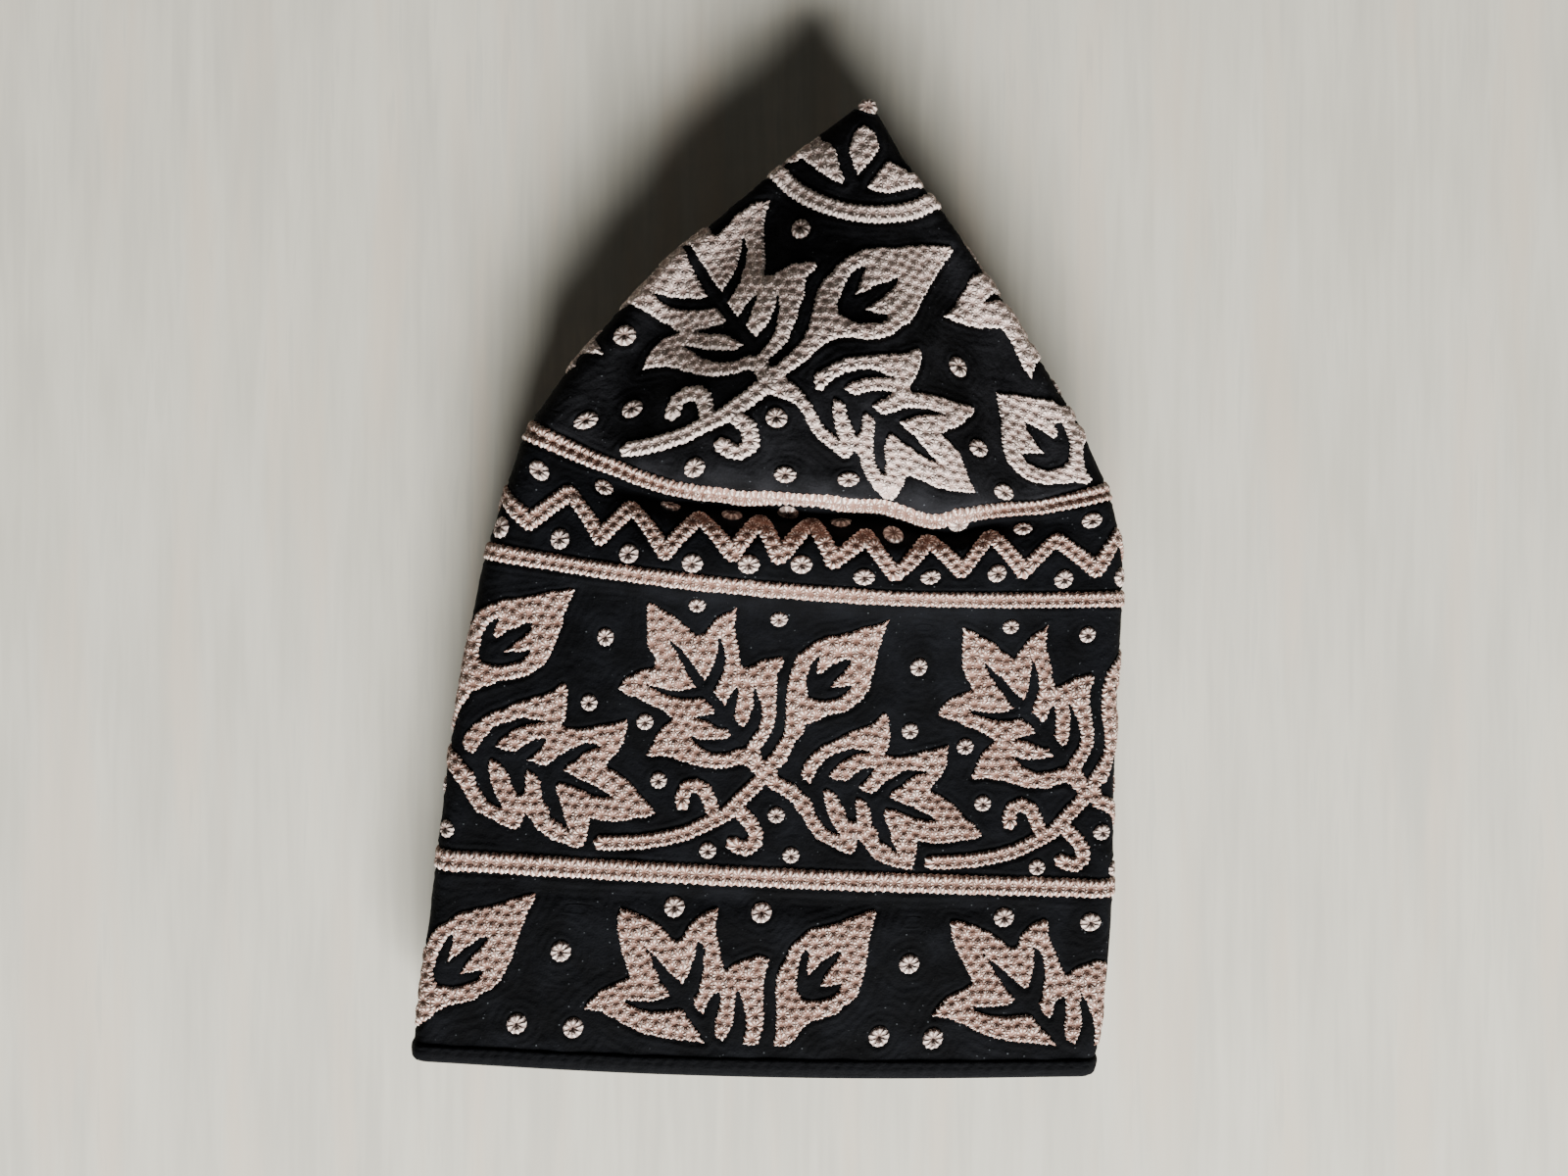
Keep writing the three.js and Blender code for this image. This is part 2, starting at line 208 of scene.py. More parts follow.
# Level and half width of the two border lines
BORDERS = ((40.9, 2.1), (101.5, 1.95))
# The line along the rim: its level, how far its chart may stray from it, its half width
RIM_LINE_LEVEL = 126.8
RIM_LINE_SWAY = 1.0
RIM_LINE_HALF_WIDTH = 2.0
# The zigzag, and the pitch that it goes on with past its chart
ZIGZAG_HALF_WIDTH = 1.8
ZIGZAG_PITCH = 13.0
# Eyelet dots: radius, then the share of the radius and the height of the rings of one
DOT_RADIUS = 1.95
WALL_DOT_RADIUS = 1.6
DOT_PROFILE = ((0.04, -0.05), (0.12, 0.12), (0.24, 0.34), (0.55, 0.46), (0.8, 0.42), (0.95, 0.24),
               (1.05, -0.14))
DOT_SPOKES = 24
# The knot on the tip, and its middle from the end of the cloth
KNOT_RADIUS = 1.9
KNOT_PLACE = (0.0, -1.2, 0.2)
# The ring round the tip. Strokes on the sloping crown are charted as seen, so they are widened.
RING_RADIUS = 24.8
RING_HALF_WIDTH = 1.75
SLOPE_WIDENING = 1.3

# Finishes: the gloss of all cloth and thread, and the softness of the threads' sheen
GLOSS = 0.06
SHEEN_SOFTNESS = 0.6

# Charts of the embroidery, drawn as it lies on the face sheet. A step is one
# sixteen hundredth of the view's width, about 0.2 mm of cloth. Places are steps to the
# right of the origin and towards the crown. A third number is half a stroke's width.
WALL_ORIGIN = (783, 778)
WALL_LEAF = (
    (-123, 164), (-114, 160), (-105, 154), (-94, 148), (-88, 143), (-82, 137), (-73, 130),
    (-69, 127), (-67, 130), (-61, 137), (-55, 144), (-50, 149), (-43, 152), (-36, 154), (-31, 158),
    (-32, 150), (-34, 139), (-32, 129), (-29, 117), (-28, 106), (-26, 97), (-23, 96), (-17, 98),
    (-11, 101), (-3, 105), (8, 106), (18, 108), (16, 99), (11, 92), (9, 79), (9, 65), (9, 51),
    (7, 37), (2, 27), (-3, 19), (-8, 13), (-5, 4), (0, -2), (1, -10), (-13, -12), (-18, -8),
    (-22, -3), (-25, -1), (-34, -4), (-42, -6), (-52, -7), (-62, -6), (-70, -4), (-80, -1),
    (-91, 3), (-103, 6), (-114, 7), (-120, 5), (-124, 8), (-120, 13), (-117, 20), (-114, 27),
    (-106, 37), (-97, 43), (-96, 45), (-103, 50), (-114, 57), (-125, 61), (-132, 66), (-142, 69),
    (-153, 74), (-147, 84), (-138, 90), (-130, 94), (-118, 96), (-113, 98), (-115, 105),
    (-119, 113), (-123, 124), (-123, 138), (-123, 153),
)
WALL_LEAF_VEINS = (
    ((-100, 126, 0.5), (-94, 117, 2.5), (-85, 105, 4), (-78, 94, 5), (-70, 82, 6)),
    ((-49.5, 126, 1), (-48, 117, 3), (-48, 106, 5), (-51, 95, 6), (-56, 84, 6), (-62, 74, 6.5)),
    ((-123, 79, 0.5), (-113, 74.5, 2), (-101, 71, 3), (-88, 69, 4.5), (-76, 70, 5.5),
     (-65, 72, 6.5)),
    ((-67, 75, 6), (-54, 62, 5.5), (-45, 50, 5.5), (-32, 32, 6.5), (-28, 21, 8)),
    ((-30, 78, 0.5), (-33, 71, 3), (-36, 62, 5), (-39, 52, 6.5)),
    ((-13.5, 79, 0.5), (-12, 69, 2), (-10.5, 58, 4), (-12, 46, 6), (-16, 36, 6.5), (-25, 26, 7)),
    ((-82, 28, 0.5), (-75, 23.5, 2), (-65, 18.5, 5), (-53, 16.5, 7.5), (-41, 17, 7.5), (-30, 21, 7),
     (-23, 28, 7)),
    ((-76, 45.5, 0.5), (-67, 45.5, 2.5), (-57, 45, 5), (-45, 41, 7.5)),
)
WALL_PAISLEY = (
    (125, 145), (112, 140), (100, 138), (85, 133), (71, 129), (59, 128), (47, 122), (40, 117),
    (32, 111), (28, 103), (23, 91), (21, 80), (19, 65), (19, 50), (18, 38), (16, 29), (12, 18),
    (4, 7), (1, 4), (-3, 0), (1, -10), (7, -9), (9, -7), (15, -4), (19, -1), (23, 9), (29, 21),
    (36, 29), (38, 37), (49, 42), (62, 48), (77, 51), (88, 56), (98, 65), (104, 75), (107, 87),
    (111, 102), (113, 114), (117, 125), (122, 139),
)
WALL_PAISLEY_VEIN = (
    (54, 109), (52, 102), (51, 95), (50, 87), (56, 91), (62, 97), (71, 101), (77, 104), (85, 106),
    (83, 98), (77, 91), (71, 85), (62, 76), (71, 77), (79, 78), (85, 79), (85, 76), (80, 70),
    (72, 66), (59, 63), (47, 64), (41, 68), (40, 77), (41, 90), (44, 99), (48, 105),
)
WALL_SPRAY = (
    (1, -11), (10, -14), (21, -19), (28, -22), (34, -29), (41, -36), (46, -41), (48, -51),
    (54, -60), (59, -67), (66, -72), (73, -73), (69, -66), (65, -60), (61, -50), (58, -39),
    (57, -29), (60, -26), (69, -32), (74, -38), (77, -45), (80, -54), (85, -60), (90, -60),
    (91, -51), (90, -42), (91, -35), (99, -40), (105, -47), (106, -55), (107, -64), (112, -70),
    (116, -81), (124, -86), (134, -94), (131, -88), (127, -79), (125, -70), (121, -61), (118, -51),
    (121, -47), (130, -49), (141, -53), (153, -58), (164, -60), (175, -59), (168, -55), (156, -49),
    (144, -44), (133, -40), (124, -35), (127, -30), (136, -25), (144, -17), (153, -13), (163, -10),
    (153, -8), (143, -8), (134, -11), (127, -16), (118, -22), (111, -30), (106, -32), (99, -29),
    (91, -27), (99, -20), (105, -13), (108, -7), (106, -5), (97, -7), (88, -13), (80, -19),
    (71, -18), (62, -14), (68, -7), (77, 1), (85, 6), (94, 8), (105, 11), (94, 13), (85, 14),
    (77, 11), (68, 8), (59, 3), (54, -4), (49, -11), (44, -22), (36, -17), (34, -11), (37, -2),
    (43, 6), (50, 13), (57, 18), (68, 22), (80, 29), (93, 34), (105, 38), (112, 43), (120, 52),
    (124, 43), (125, 29), (124, 15), (120, 9), (125, 6), (136, 6), (150, 9), (164, 12), (177, 15),
    (185, 18), (184, 6), (182, -5), (178, -13), (170, -22), (166, -29), (174, -33), (184, -39),
    (192, -45), (197, -51), (203, -58), (211, -64), (219, -74), (209, -79), (200, -79), (187, -82),
    (175, -83), (164, -82), (153, -80), (152, -89), (151, -101), (147, -110), (138, -109),
    (130, -107), (118, -103), (109, -97), (103, -92), (99, -85), (94, -78), (92, -77), (92, -83),
    (88, -92), (84, -94), (77, -92), (68, -87), (57, -81), (50, -78), (46, -72), (41, -66),
    (37, -58), (32, -51), (26, -42), (18, -36), (9, -30), (1, -27),
)
WALL_VINE = (
    ((-1, -12, 8), (-13, -24, 8), (-26, -36, 8), (-41, -52, 8), (-61, -62, 8), (-83, -72, 8),
     (-103, -77, 8), (-128, -81, 8), (-153, -82, 8), (-170, -82, 8)),
    ((-55, -52, 7.5), (-59, -40, 7.5), (-64, -28, 7.5), (-74, -23, 7.5), (-83, -26, 7.5),
     (-87, -34, 7.5), (-87, -42, 7.5)),
    ((-28, -50, 8), (-17, -62, 8), (-12, -72, 8), (-13, -82, 8), (-21, -88, 8), (-30, -86, 8),
     (-35, -83, 8)),
    ((2, -4, 7.5), (12, 8, 7.5), (20, 21, 7.5), (27, 33, 7.5)),
    ((-1, -12, 11), (0, -13, 11)),
)
WALL_DOTS = (
    (155, 97), (146, 32), (202, 16), (220, -42), (12, 146), (9, -54), (24, -95), (-61, -90),
    (-72, 160),
)
# The leaf and paisley of the strip above the hem, whose lower parts the binding hides
HEM_LEAF = (
    (-151, -149), (-139, -152), (-126, -157), (-115, -163), (-105, -171), (-99, -179), (-93, -182),
    (-87, -179), (-83, -170), (-75, -161), (-65, -154), (-56, -150), (-49, -148), (-51, -155),
    (-53, -164), (-52, -176), (-49, -188), (-47, -202), (-43, -213), (-37, -208), (-29, -203),
    (-19, -200), (-10, -197), (2, -200), (1, -208), (-3, -216), (-4, -230), (-5, -242), (-3, -258),
    (-5, -274), (-10, -288), (-25, -289), (-25, -282), (-22, -270), (-23, -258), (-25, -246),
    (-29, -234), (-31, -230), (-33, -242), (-34, -258), (-38, -272), (-45, -285), (-53, -280),
    (-54, -272), (-51, -258), (-49, -246), (-48, -234), (-55, -237), (-60, -242), (-63, -250),
    (-66, -258), (-71, -253), (-75, -246), (-76, -241), (-71, -236), (-69, -224), (-65, -214),
    (-65, -202), (-64, -192), (-67, -184), (-71, -182), (-73, -192), (-76, -204), (-80, -214),
    (-86, -227), (-93, -221), (-101, -213), (-109, -204), (-119, -194), (-127, -186), (-121, -196),
    (-116, -210), (-109, -224), (-99, -238), (-109, -242), (-123, -244), (-137, -244),
    (-147, -242), (-143, -247), (-133, -252), (-119, -254), (-103, -254), (-91, -252), (-85, -254),
    (-81, -262), (-75, -270), (-69, -278), (-64, -287), (-75, -285), (-91, -283), (-103, -282),
    (-117, -279), (-131, -275), (-143, -269), (-155, -262), (-167, -256), (-177, -253),
    (-187, -252), (-188, -250), (-181, -242), (-171, -233), (-161, -228), (-151, -224),
    (-141, -220), (-142, -214), (-145, -204), (-149, -192), (-152, -180), (-153, -168),
    (-153, -156),
)
HEM_PAISLEY = (
    (113, -150), (101, -153), (89, -157), (77, -162), (67, -165), (55, -168), (45, -170),
    (37, -175), (33, -180), (27, -184), (21, -192), (18, -202), (12, -210), (9, -220), (8, -234),
    (9, -246), (9, -262), (9, -274), (6, -286), (7, -290), (19, -290), (25, -286), (31, -278),
    (37, -270), (47, -264), (59, -261), (71, -256), (77, -250), (85, -245), (93, -236), (97, -222),
    (101, -208), (102, -198), (103, -186), (106, -172), (109, -160),
)
HEM_PAISLEY_VEIN = (
    (41, -191), (42, -202), (40, -212), (41, -219), (47, -212), (55, -204), (65, -197), (73, -192),
    (75, -196), (68, -206), (61, -214), (57, -222), (53, -231), (63, -228), (76, -226), (75, -231),
    (69, -238), (59, -242), (47, -244), (35, -242), (30, -234), (29, -222), (31, -210),
    (35, -198), (38, -192),
)
HEM_DOTS = (
    (145, -206), (114, -280), (169, -282), (-95, -147), (-6, -153),
)
RIM_LINE = (
    (-243, 338), (-179, 309), (-128, 289), (-77, 276), (-26, 269), (17, 269), (61, 271), (91, 261),
    (127, 247), (153, 248), (193, 256), (229, 256), (280, 253), (347, 276),
)
ZIGZAG_TOPS = (
    (-268, 276), (-202, 276), (-138, 261), (-69, 251), (-8, 248), (45, 246), (101, 232), (165, 228),
    (227, 233), (295, 228), (357, 233),
)
ZIGZAG_FEET = (
    (-243, 246), (-171, 230), (-105, 215), (-36, 213), (12, 210), (68, 205), (131, 191), (199, 195),
    (262, 195), (336, 197),
)
ZIGZAG_DOTS_ABOVE = (
    (-233, 298), (-167, 281), (-99, 263), (-36, 254), (21, 253), (75, 247), (129, 233), (196, 242),
    (261, 239), (332, 247),
)
ZIGZAG_DOTS_BELOW = (
    (-212, 228), (-142, 213), (-77, 203), (-19, 202), (35, 202), (99, 189), (167, 189), (235, 193),
    (303, 187),
)

# The crown's leaf reaches past the left fold. That part is drawn on the next leaf,
# a quarter turn on, in the rows that are named beyond.
CROWN_ORIGIN = (785, 388)
CROWN_LEAF_BELOW = (
    (1, 184), (0, 178), (-4, 170), (-6, 159), (-6, 147), (-5, 136), (-4, 124), (-5, 112), (-4, 107),
    (3, 107), (6, 110), (14, 113), (18, 117), (27, 120), (40, 121), (50, 120), (46, 113), (39, 107),
    (36, 98), (34, 84), (29, 72), (26, 59), (22, 49), (17, 38), (9, 30), (1, 24), (-1, 21), (0, 15),
    (0, 0), (-10, -2), (-15, 6), (-17, 10), (-23, 11), (-34, 7), (-45, 5), (-57, 4), (-73, 6),
    (-85, 9), (-97, 13), (-108, 14), (-116, 13), (-123, 13), (-131, 9), (-128, 15), (-125, 24),
    (-119, 32), (-113, 38), (-105, 44), (-96, 47), (-93, 49), (-100, 55), (-111, 60), (-122, 67),
    (-131, 73), (-142, 78),
)
CROWN_LEAF_BEYOND = (
    (268, 2), (261, 10), (253, 26), (246, 41), (238, 53), (217, 54), (204, 56), (192, 59),
    (178, 65), (190, 76), (195, 87), (201, 94), (204, 102), (210, 108), (217, 109),
)
CROWN_LEAF_ABOVE = (
    (-64, 158), (-59, 150), (-55, 147), (-52, 151), (-47, 155), (-40, 162), (-34, 169), (-28, 174),
    (-20, 180), (-11, 182),
)
CROWN_LEAF_VEINS = (
    ((-27.5, 145, 1), (-26, 134, 3.5), (-28, 122, 5), (-32, 109, 6), (-38, 97, 7), (-45, 85, 7)),
    ((-118, 90, 0.5), (-110, 84, 3), (-99, 79.5, 5), (-85, 77.5, 6.5), (-71, 77.5, 6.5),
     (-57, 80, 7)),
    ((-56, 85, 6), (-45, 72, 5.5), (-35, 58, 6), (-23, 43, 7), (-15, 32, 7)),
    ((-12, 89, 0.5), (-17, 82, 3.5), (-23, 72, 6), (-28, 61, 6.5)),
    ((8.5, 89, 0.5), (8, 77, 2), (5, 63, 4), (0, 51, 6), (-10, 39, 8)),
    ((-85, 34, 0.5), (-75, 30, 3), (-63, 25.5, 5.5), (-47, 24.5, 6.5), (-33, 26, 6), (-20, 33, 7)),
    ((-74, 49.5, 0.5), (-63, 51, 3), (-50, 53, 5.5), (-37, 53, 8), (-28, 46, 8)),
    ((-83, 136, 3), (-78, 124, 4.5), (-70, 111, 5.5), (-63, 98, 6), (-54, 85, 7.5)),
)
CROWN_VEIN_BEYOND = (
    (219, 79, 0.5), (227, 84, 3),
)
CROWN_PAISLEY = (
    (190, 136), (175, 138), (157, 138), (142, 137), (128, 135), (113, 136), (101, 135), (95, 133),
    (85, 128), (78, 125), (72, 120), (66, 116), (64, 111), (55, 103), (51, 95), (47, 87), (45, 75),
    (43, 64), (39, 53), (35, 43), (29, 36), (21, 28), (14, 22), (6, 15), (0, 8), (5, -2), (14, 3),
    (19, 8), (26, 12), (35, 18), (44, 28), (54, 36), (63, 41), (72, 44), (84, 44), (95, 43),
    (110, 42), (122, 45), (128, 48), (135, 55), (144, 59), (150, 68), (154, 78), (160, 89),
    (166, 99), (172, 109), (178, 118), (185, 128),
)
CROWN_PAISLEY_VEIN = (
    (99, 117), (97, 111), (94, 104), (91, 95), (87, 87), (97, 91), (106, 96), (113, 99), (123, 102),
    (132, 106), (131, 99), (125, 93), (116, 85), (107, 79), (97, 73), (106, 70), (114, 68),
    (123, 67), (119, 61), (110, 59), (98, 58), (85, 60), (77, 65), (71, 68), (69, 76), (72, 87),
    (76, 96), (82, 107), (89, 114),
)
CROWN_SPRAY = (
    (14, 3), (25, -3), (35, -12), (44, -26), (51, -39), (57, -48), (64, -54), (71, -60), (68, -52),
    (65, -39), (64, -26), (66, -17), (77, -23), (80, -35), (86, -48), (89, -57), (93, -52),
    (95, -41), (97, -31), (108, -41), (107, -54), (106, -67), (108, -83), (114, -94), (118, -96),
    (119, -87), (118, -74), (119, -61), (123, -53), (136, -63), (149, -72), (162, -80), (175, -86),
    (166, -77), (155, -65), (144, -52), (131, -43), (144, -38), (158, -35), (168, -35), (178, -36),
    (166, -29), (149, -28), (136, -29), (125, -34), (116, -35), (104, -26), (114, -20), (123, -15),
    (125, -11), (114, -10), (101, -11), (90, -15), (81, -12), (75, -7), (86, -1), (99, 3), (114, 3),
    (126, 3), (114, 9), (101, 12), (88, 10), (75, 7), (66, 2), (57, -6), (53, -12), (47, -9),
    (45, 0), (46, 7), (55, 12), (66, 18), (75, 23), (92, 25), (114, 27), (136, 27), (147, 31),
    (155, 33), (156, 22), (153, 11), (148, 0), (143, -6), (145, -12), (158, -14), (175, -17),
    (192, -23), (210, -28), (205, -37), (195, -46), (184, -50), (176, -54), (184, -63), (195, -76),
    (200, -89), (204, -102), (211, -115), (192, -113), (171, -109), (155, -102), (144, -98),
    (140, -97), (137, -105), (131, -118), (126, -123), (116, -120), (107, -111), (99, -100),
    (94, -87), (91, -74), (87, -72), (83, -78), (77, -81), (64, -71), (49, -59), (41, -48),
    (35, -35), (27, -24), (16, -20), (5, -14), (0, -7),
)
CROWN_VINE = (
    ((0, 0, 7.5), (-10, -9, 7.5), (-20, -17, 7.5), (-33, -26, 7.5), (-45, -35, 7.5),
     (-57, -41, 7.5), (-70, -47, 7.5), (-85, -55, 7.5), (-103, -61, 7.5), (-125, -67, 7.5),
     (-143, -70, 7.5)),
    ((-63, -40, 7), (-65, -30, 7), (-67, -18, 7), (-74, -13, 7), (-85, -14, 7), (-94, -20, 7),
     (-98, -29, 7), (-99, -33, 7)),
    ((-31, -40, 7), (-22, -47, 7), (-19, -58, 7), (-20, -67, 7), (-30, -74, 7), (-40, -72, 7),
     (-48, -66, 7)),
    ((2, 0, 11), (3, -1, 11)),
)
CORNER_PAISLEY = (
    (232, -12), (245, -14), (260, -16), (274, -18), (289, -20), (296, -26), (303, -33), (312, -44),
    (317, -55), (321, -66), (320, -76), (323, -89), (330, -101), (324, -106), (312, -104),
    (299, -105), (281, -106), (267, -103), (253, -94), (244, -84), (239, -71), (237, -57),
    (237, -42), (235, -28),
)
CORNER_PAISLEY_VEIN = (
    (260, -41), (269, -46), (278, -51), (287, -57), (293, -62), (294, -55), (291, -44), (298, -42),
    (303, -50), (306, -60), (307, -71), (305, -82), (298, -89), (285, -92), (274, -89), (263, -84),
    (257, -75), (271, -74), (281, -75), (274, -67), (269, -60), (263, -51),
)
CROWN_DOTS = (
    (32, 155), (-148, 46), (-140, -29), (-187, -41), (-77, -89), (7, -38), (16, -96), (81, -101),
    (193, 14), (214, -69), (240, -114),
)
ROSETTE_PETAL = (
    (95, 261), (101, 259), (107, 254), (111, 245), (112, 238), (108, 230), (102, 222), (96, 217),
    (91, 209), (89, 215), (85, 223), (82, 233), (82, 242), (85, 250), (90, 256),
)
ROSETTE_LEFT = (
    (25, 237), (32, 242), (41, 244), (54, 244), (62, 242), (67, 238), (70, 227), (73, 216),
    (78, 203), (75, 201), (65, 205), (59, 208), (49, 215), (40, 222), (34, 227),
)
ROSETTE_RIGHT = (
    (122, 224), (130, 220), (140, 215), (150, 209), (158, 204), (149, 198), (136, 194), (127, 192),
    (115, 192), (106, 195), (99, 195), (101, 200), (108, 208), (113, 215), (119, 222),
)


# The folded cloth

def monotone_slopes(places, values):
    """Slopes of a cubic that never swings past its rows."""
    secant = np.diff(values) / np.diff(places)
    slope = np.concatenate(([secant[0]], np.zeros(len(values) - 2), [secant[-1]]))
    for i in range(1, len(values) - 1):
        before, after = secant[i - 1], secant[i]
        if before * after > 0:
            slope[i] = 2 * before * after / (before + after)
    return slope


LEVEL_TABLE = dict(zip(LEVEL_COLUMNS, np.array(LEVELS, float).T))
LEVEL_SLOPES = {name: monotone_slopes(LEVEL_TABLE["level"], column)
                for name, column in LEVEL_TABLE.items()}


def row_at(level):
    """All columns of the level table at the given levels."""
    places = LEVEL_TABLE["level"]
    i = np.clip(np.searchsorted(places, level) - 1, 0, len(places) - 2)
    step = places[i + 1] - places[i]
    t = (level - places[i]) / step
    row = {}
    for name, column in LEVEL_TABLE.items():
        start = LEVEL_SLOPES[name][i] * step
        end = LEVEL_SLOPES[name][i + 1] * step
        row[name] = (column[i] * (1 + 2 * t) * (1 - t) ** 2 + start * t * (1 - t) ** 2
                     + column[i + 1] * t * t * (3 - 2 * t) + end * t * t * (t - 1))
    return row


def smooth(t):
    """Smooth step from 0 to 1."""
    t = np.clip(t, 0, 1)
    return t * t * (3 - 2 * t)


def bell(distance, reach):
    """Bell curve that is 1 at no distance."""
    return np.exp(-(distance / reach) ** 2)


def face_height(row, level, across):
    """Height of the face sheet between its folds."""
    dome = (1 - np.abs(across) ** 2.6) ** 2
    height = row["face_edge"] + (row["face_mid"] - row["face_edge"]) * dome
    fade = 1 - np.abs(across) ** 6
    for place, reach, middle, spread, rise in BUCKLES:
        height = height + fade * rise * bell(level - place, reach) * bell(across - middle, spread)
    return height


def cloth_point(level, station):
    """Middle of the cloth in millimetres, at any levels and stations."""
    level, station = np.broadcast_arrays(np.asarray(level, float), np.asarray(station, float))
    station = station % STATIONS
    index = np.clip(station.astype(int), 0, STATIONS - 1)
    t = station - index
    side = SIDES[index]
    turn = np.where(side >= 0, t, 1 - t)
    row = row_at(level)
    high_radius = (row["face_edge"] - row["high_leaf"]) / 2
    low_radius = (row["low_leaf"] - row["under"]) / 2
    inner_radius = (row["high_leaf"] - row["low_leaf"]) / 2
    outer = row["half_width"] - CLOTH / 2
    high_x = outer - high_radius
    low_x = outer - UNDER_FOLD_INSET * smooth(row["half_width"] / 30) - low_radius
    inner_x = np.minimum(np.minimum(row["inner_fold"], low_x), high_x)
    angle = np.pi / 2 - turn * np.pi
    across = -1 + 2 * t
    places = {
        "face": (across * high_x, face_height(row, level, across)),
        "high_outer": (side * (high_x + high_radius * np.cos(angle)),
                       (row["face_edge"] + row["high_leaf"]) / 2 + high_radius * np.sin(angle)),
        "high_leaf": (side * (high_x + (inner_x - high_x) * turn), row["high_leaf"]),
        "inner": (side * (inner_x - inner_radius * np.cos(angle)),
                  (row["high_leaf"] + row["low_leaf"]) / 2 + inner_radius * np.sin(angle)),
        "low_leaf": (side * (inner_x + (low_x - inner_x) * turn), row["low_leaf"]),
        "low_outer": (side * (low_x + low_radius * np.cos(angle)),
                      (row["low_leaf"] + row["under"]) / 2 + low_radius * np.sin(angle)),
        "under": (low_x * (1 - 2 * t), row["under"]),
    }
    kinds = list(places)
    choice = np.array([kinds.index(name) for name in STRETCHES])[index]
    x = np.choose(choice, [places[name][0] for name in kinds])
    z = np.choose(choice, [places[name][1] for name in kinds])
    oval = np.array([OVAL[name] for name in STRETCHES], float)[index]
    around = np.radians(oval[..., 0] + (oval[..., 1] - oval[..., 0]) * np.where(side < 0, 1 - t, t))
    half_height = (row["face_mid"] - row["under"]) / 2
    plain_x = np.where(side < 0, -1, 1) * outer * np.cos(around)
    plain_z = (row["face_mid"] + row["under"]) / 2 + half_height * np.sin(around)
    blend = smooth((level - GUSSET_END[0]) / (GUSSET_END[1] - GUSSET_END[0]))
    x = x + (plain_x - x) * blend
    z = z + (plain_z - z) * blend
    across = x / row["half_width"]
    along = row["sag"] * across * across
    for place, reach, middle, spread, shift in WAVES:
        along = along + shift * bell(level - place, reach) * bell(across - middle, spread)
    tilt = np.radians(row["tilt"])
    return np.stack([
        row["mid_x"] + x * np.cos(tilt) - along * np.sin(tilt) - FOOTPRINT_MIDDLE[0],
        row["mid_y"] + x * np.sin(tilt) + along * np.cos(tilt) - FOOTPRINT_MIDDLE[1],
        z,
    ], -1)


def cloth_normal(level, station):
    """Outward direction of the cloth."""
    around = cloth_point(level, station + 0.004) - cloth_point(level, station - 0.004)
    up = cloth_point(level + 0.2, station) - cloth_point(level - 0.2, station)
    normal = np.cross(around, up)
    return normal / np.maximum(np.linalg.norm(normal, axis=-1, keepdims=True), 1e-9)


def on_cloth(level, station, offset):
    """Places at an offset outward from the middle of the cloth."""
    return cloth_point(level, station) + cloth_normal(level, station) * np.asarray(offset)[..., None]


class LoopLength:
    """Lengths round the loop, in millimetres from the middle of the face or under sheet."""

    def __init__(self):
        self.step = 0.5
        self.station_step = 0.02
        self.levels = np.arange(0, TIP_LEVEL, self.step)
        self.stations = np.arange(0, STATIONS + 0.0001, self.station_step)
        level, station = np.meshgrid(self.levels, self.stations, indexing="ij")
        points = cloth_point(level, np.minimum(station, STATIONS - 0.0001))
        pieces = np.linalg.norm(np.diff(points, axis=1), axis=-1)
        self.length = np.concatenate([np.zeros((len(self.levels), 1)), np.cumsum(pieces, 1)], 1)
        self.whole = self.length[:, -1]
        self.share_steps = 1600
        shares = np.linspace(0, 1, self.share_steps + 1)
        self.inverse = np.array([np.interp(shares * row[-1], row, self.stations)
                                 for row in self.length])

    def table(self, grid, level, place, places):
        """Bilinear reading of a grid of levels and places."""
        i = np.clip(level / self.step, 0, len(self.levels) - 1.001)
        j = np.clip(place, 0, places - 1.001)
        a, b = i.astype(int), j.astype(int)
        s, t = i - a, j - b
        return ((grid[a, b] * (1 - s) + grid[a + 1, b] * s) * (1 - t)
                + (grid[a, b + 1] * (1 - s) + grid[a + 1, b + 1] * s) * t)

    def round_at(self, level):
        """Whole length of the loop."""
        return np.interp(level, self.levels, self.whole)

    def from_start(self, level, station):
        """Length from the left end of the face sheet."""
        place = (station % STATIONS) / self.station_step
        return self.table(self.length, level, place, len(self.stations))

    def arc(self, level, station, middle):
        """Length from the middle of a sheet, negative on its left."""
        level, station = np.broadcast_arrays(np.asarray(level, float), np.asarray(station, float))
        whole = self.round_at(level)
        start = self.from_start(level, np.full_like(level, middle))
        return (self.from_start(level, station) - start + whole / 2) % whole - whole / 2

    def station(self, level, arc, middle):
        """Station at a length from the middle of a sheet."""
        whole = self.round_at(level)
        start = self.from_start(level, np.full_like(level, middle))
        share = ((start + arc) % whole) / whole
        return self.table(self.inverse, level, share * self.share_steps, self.share_steps + 1)


LOOP = LoopLength()


# Meshes

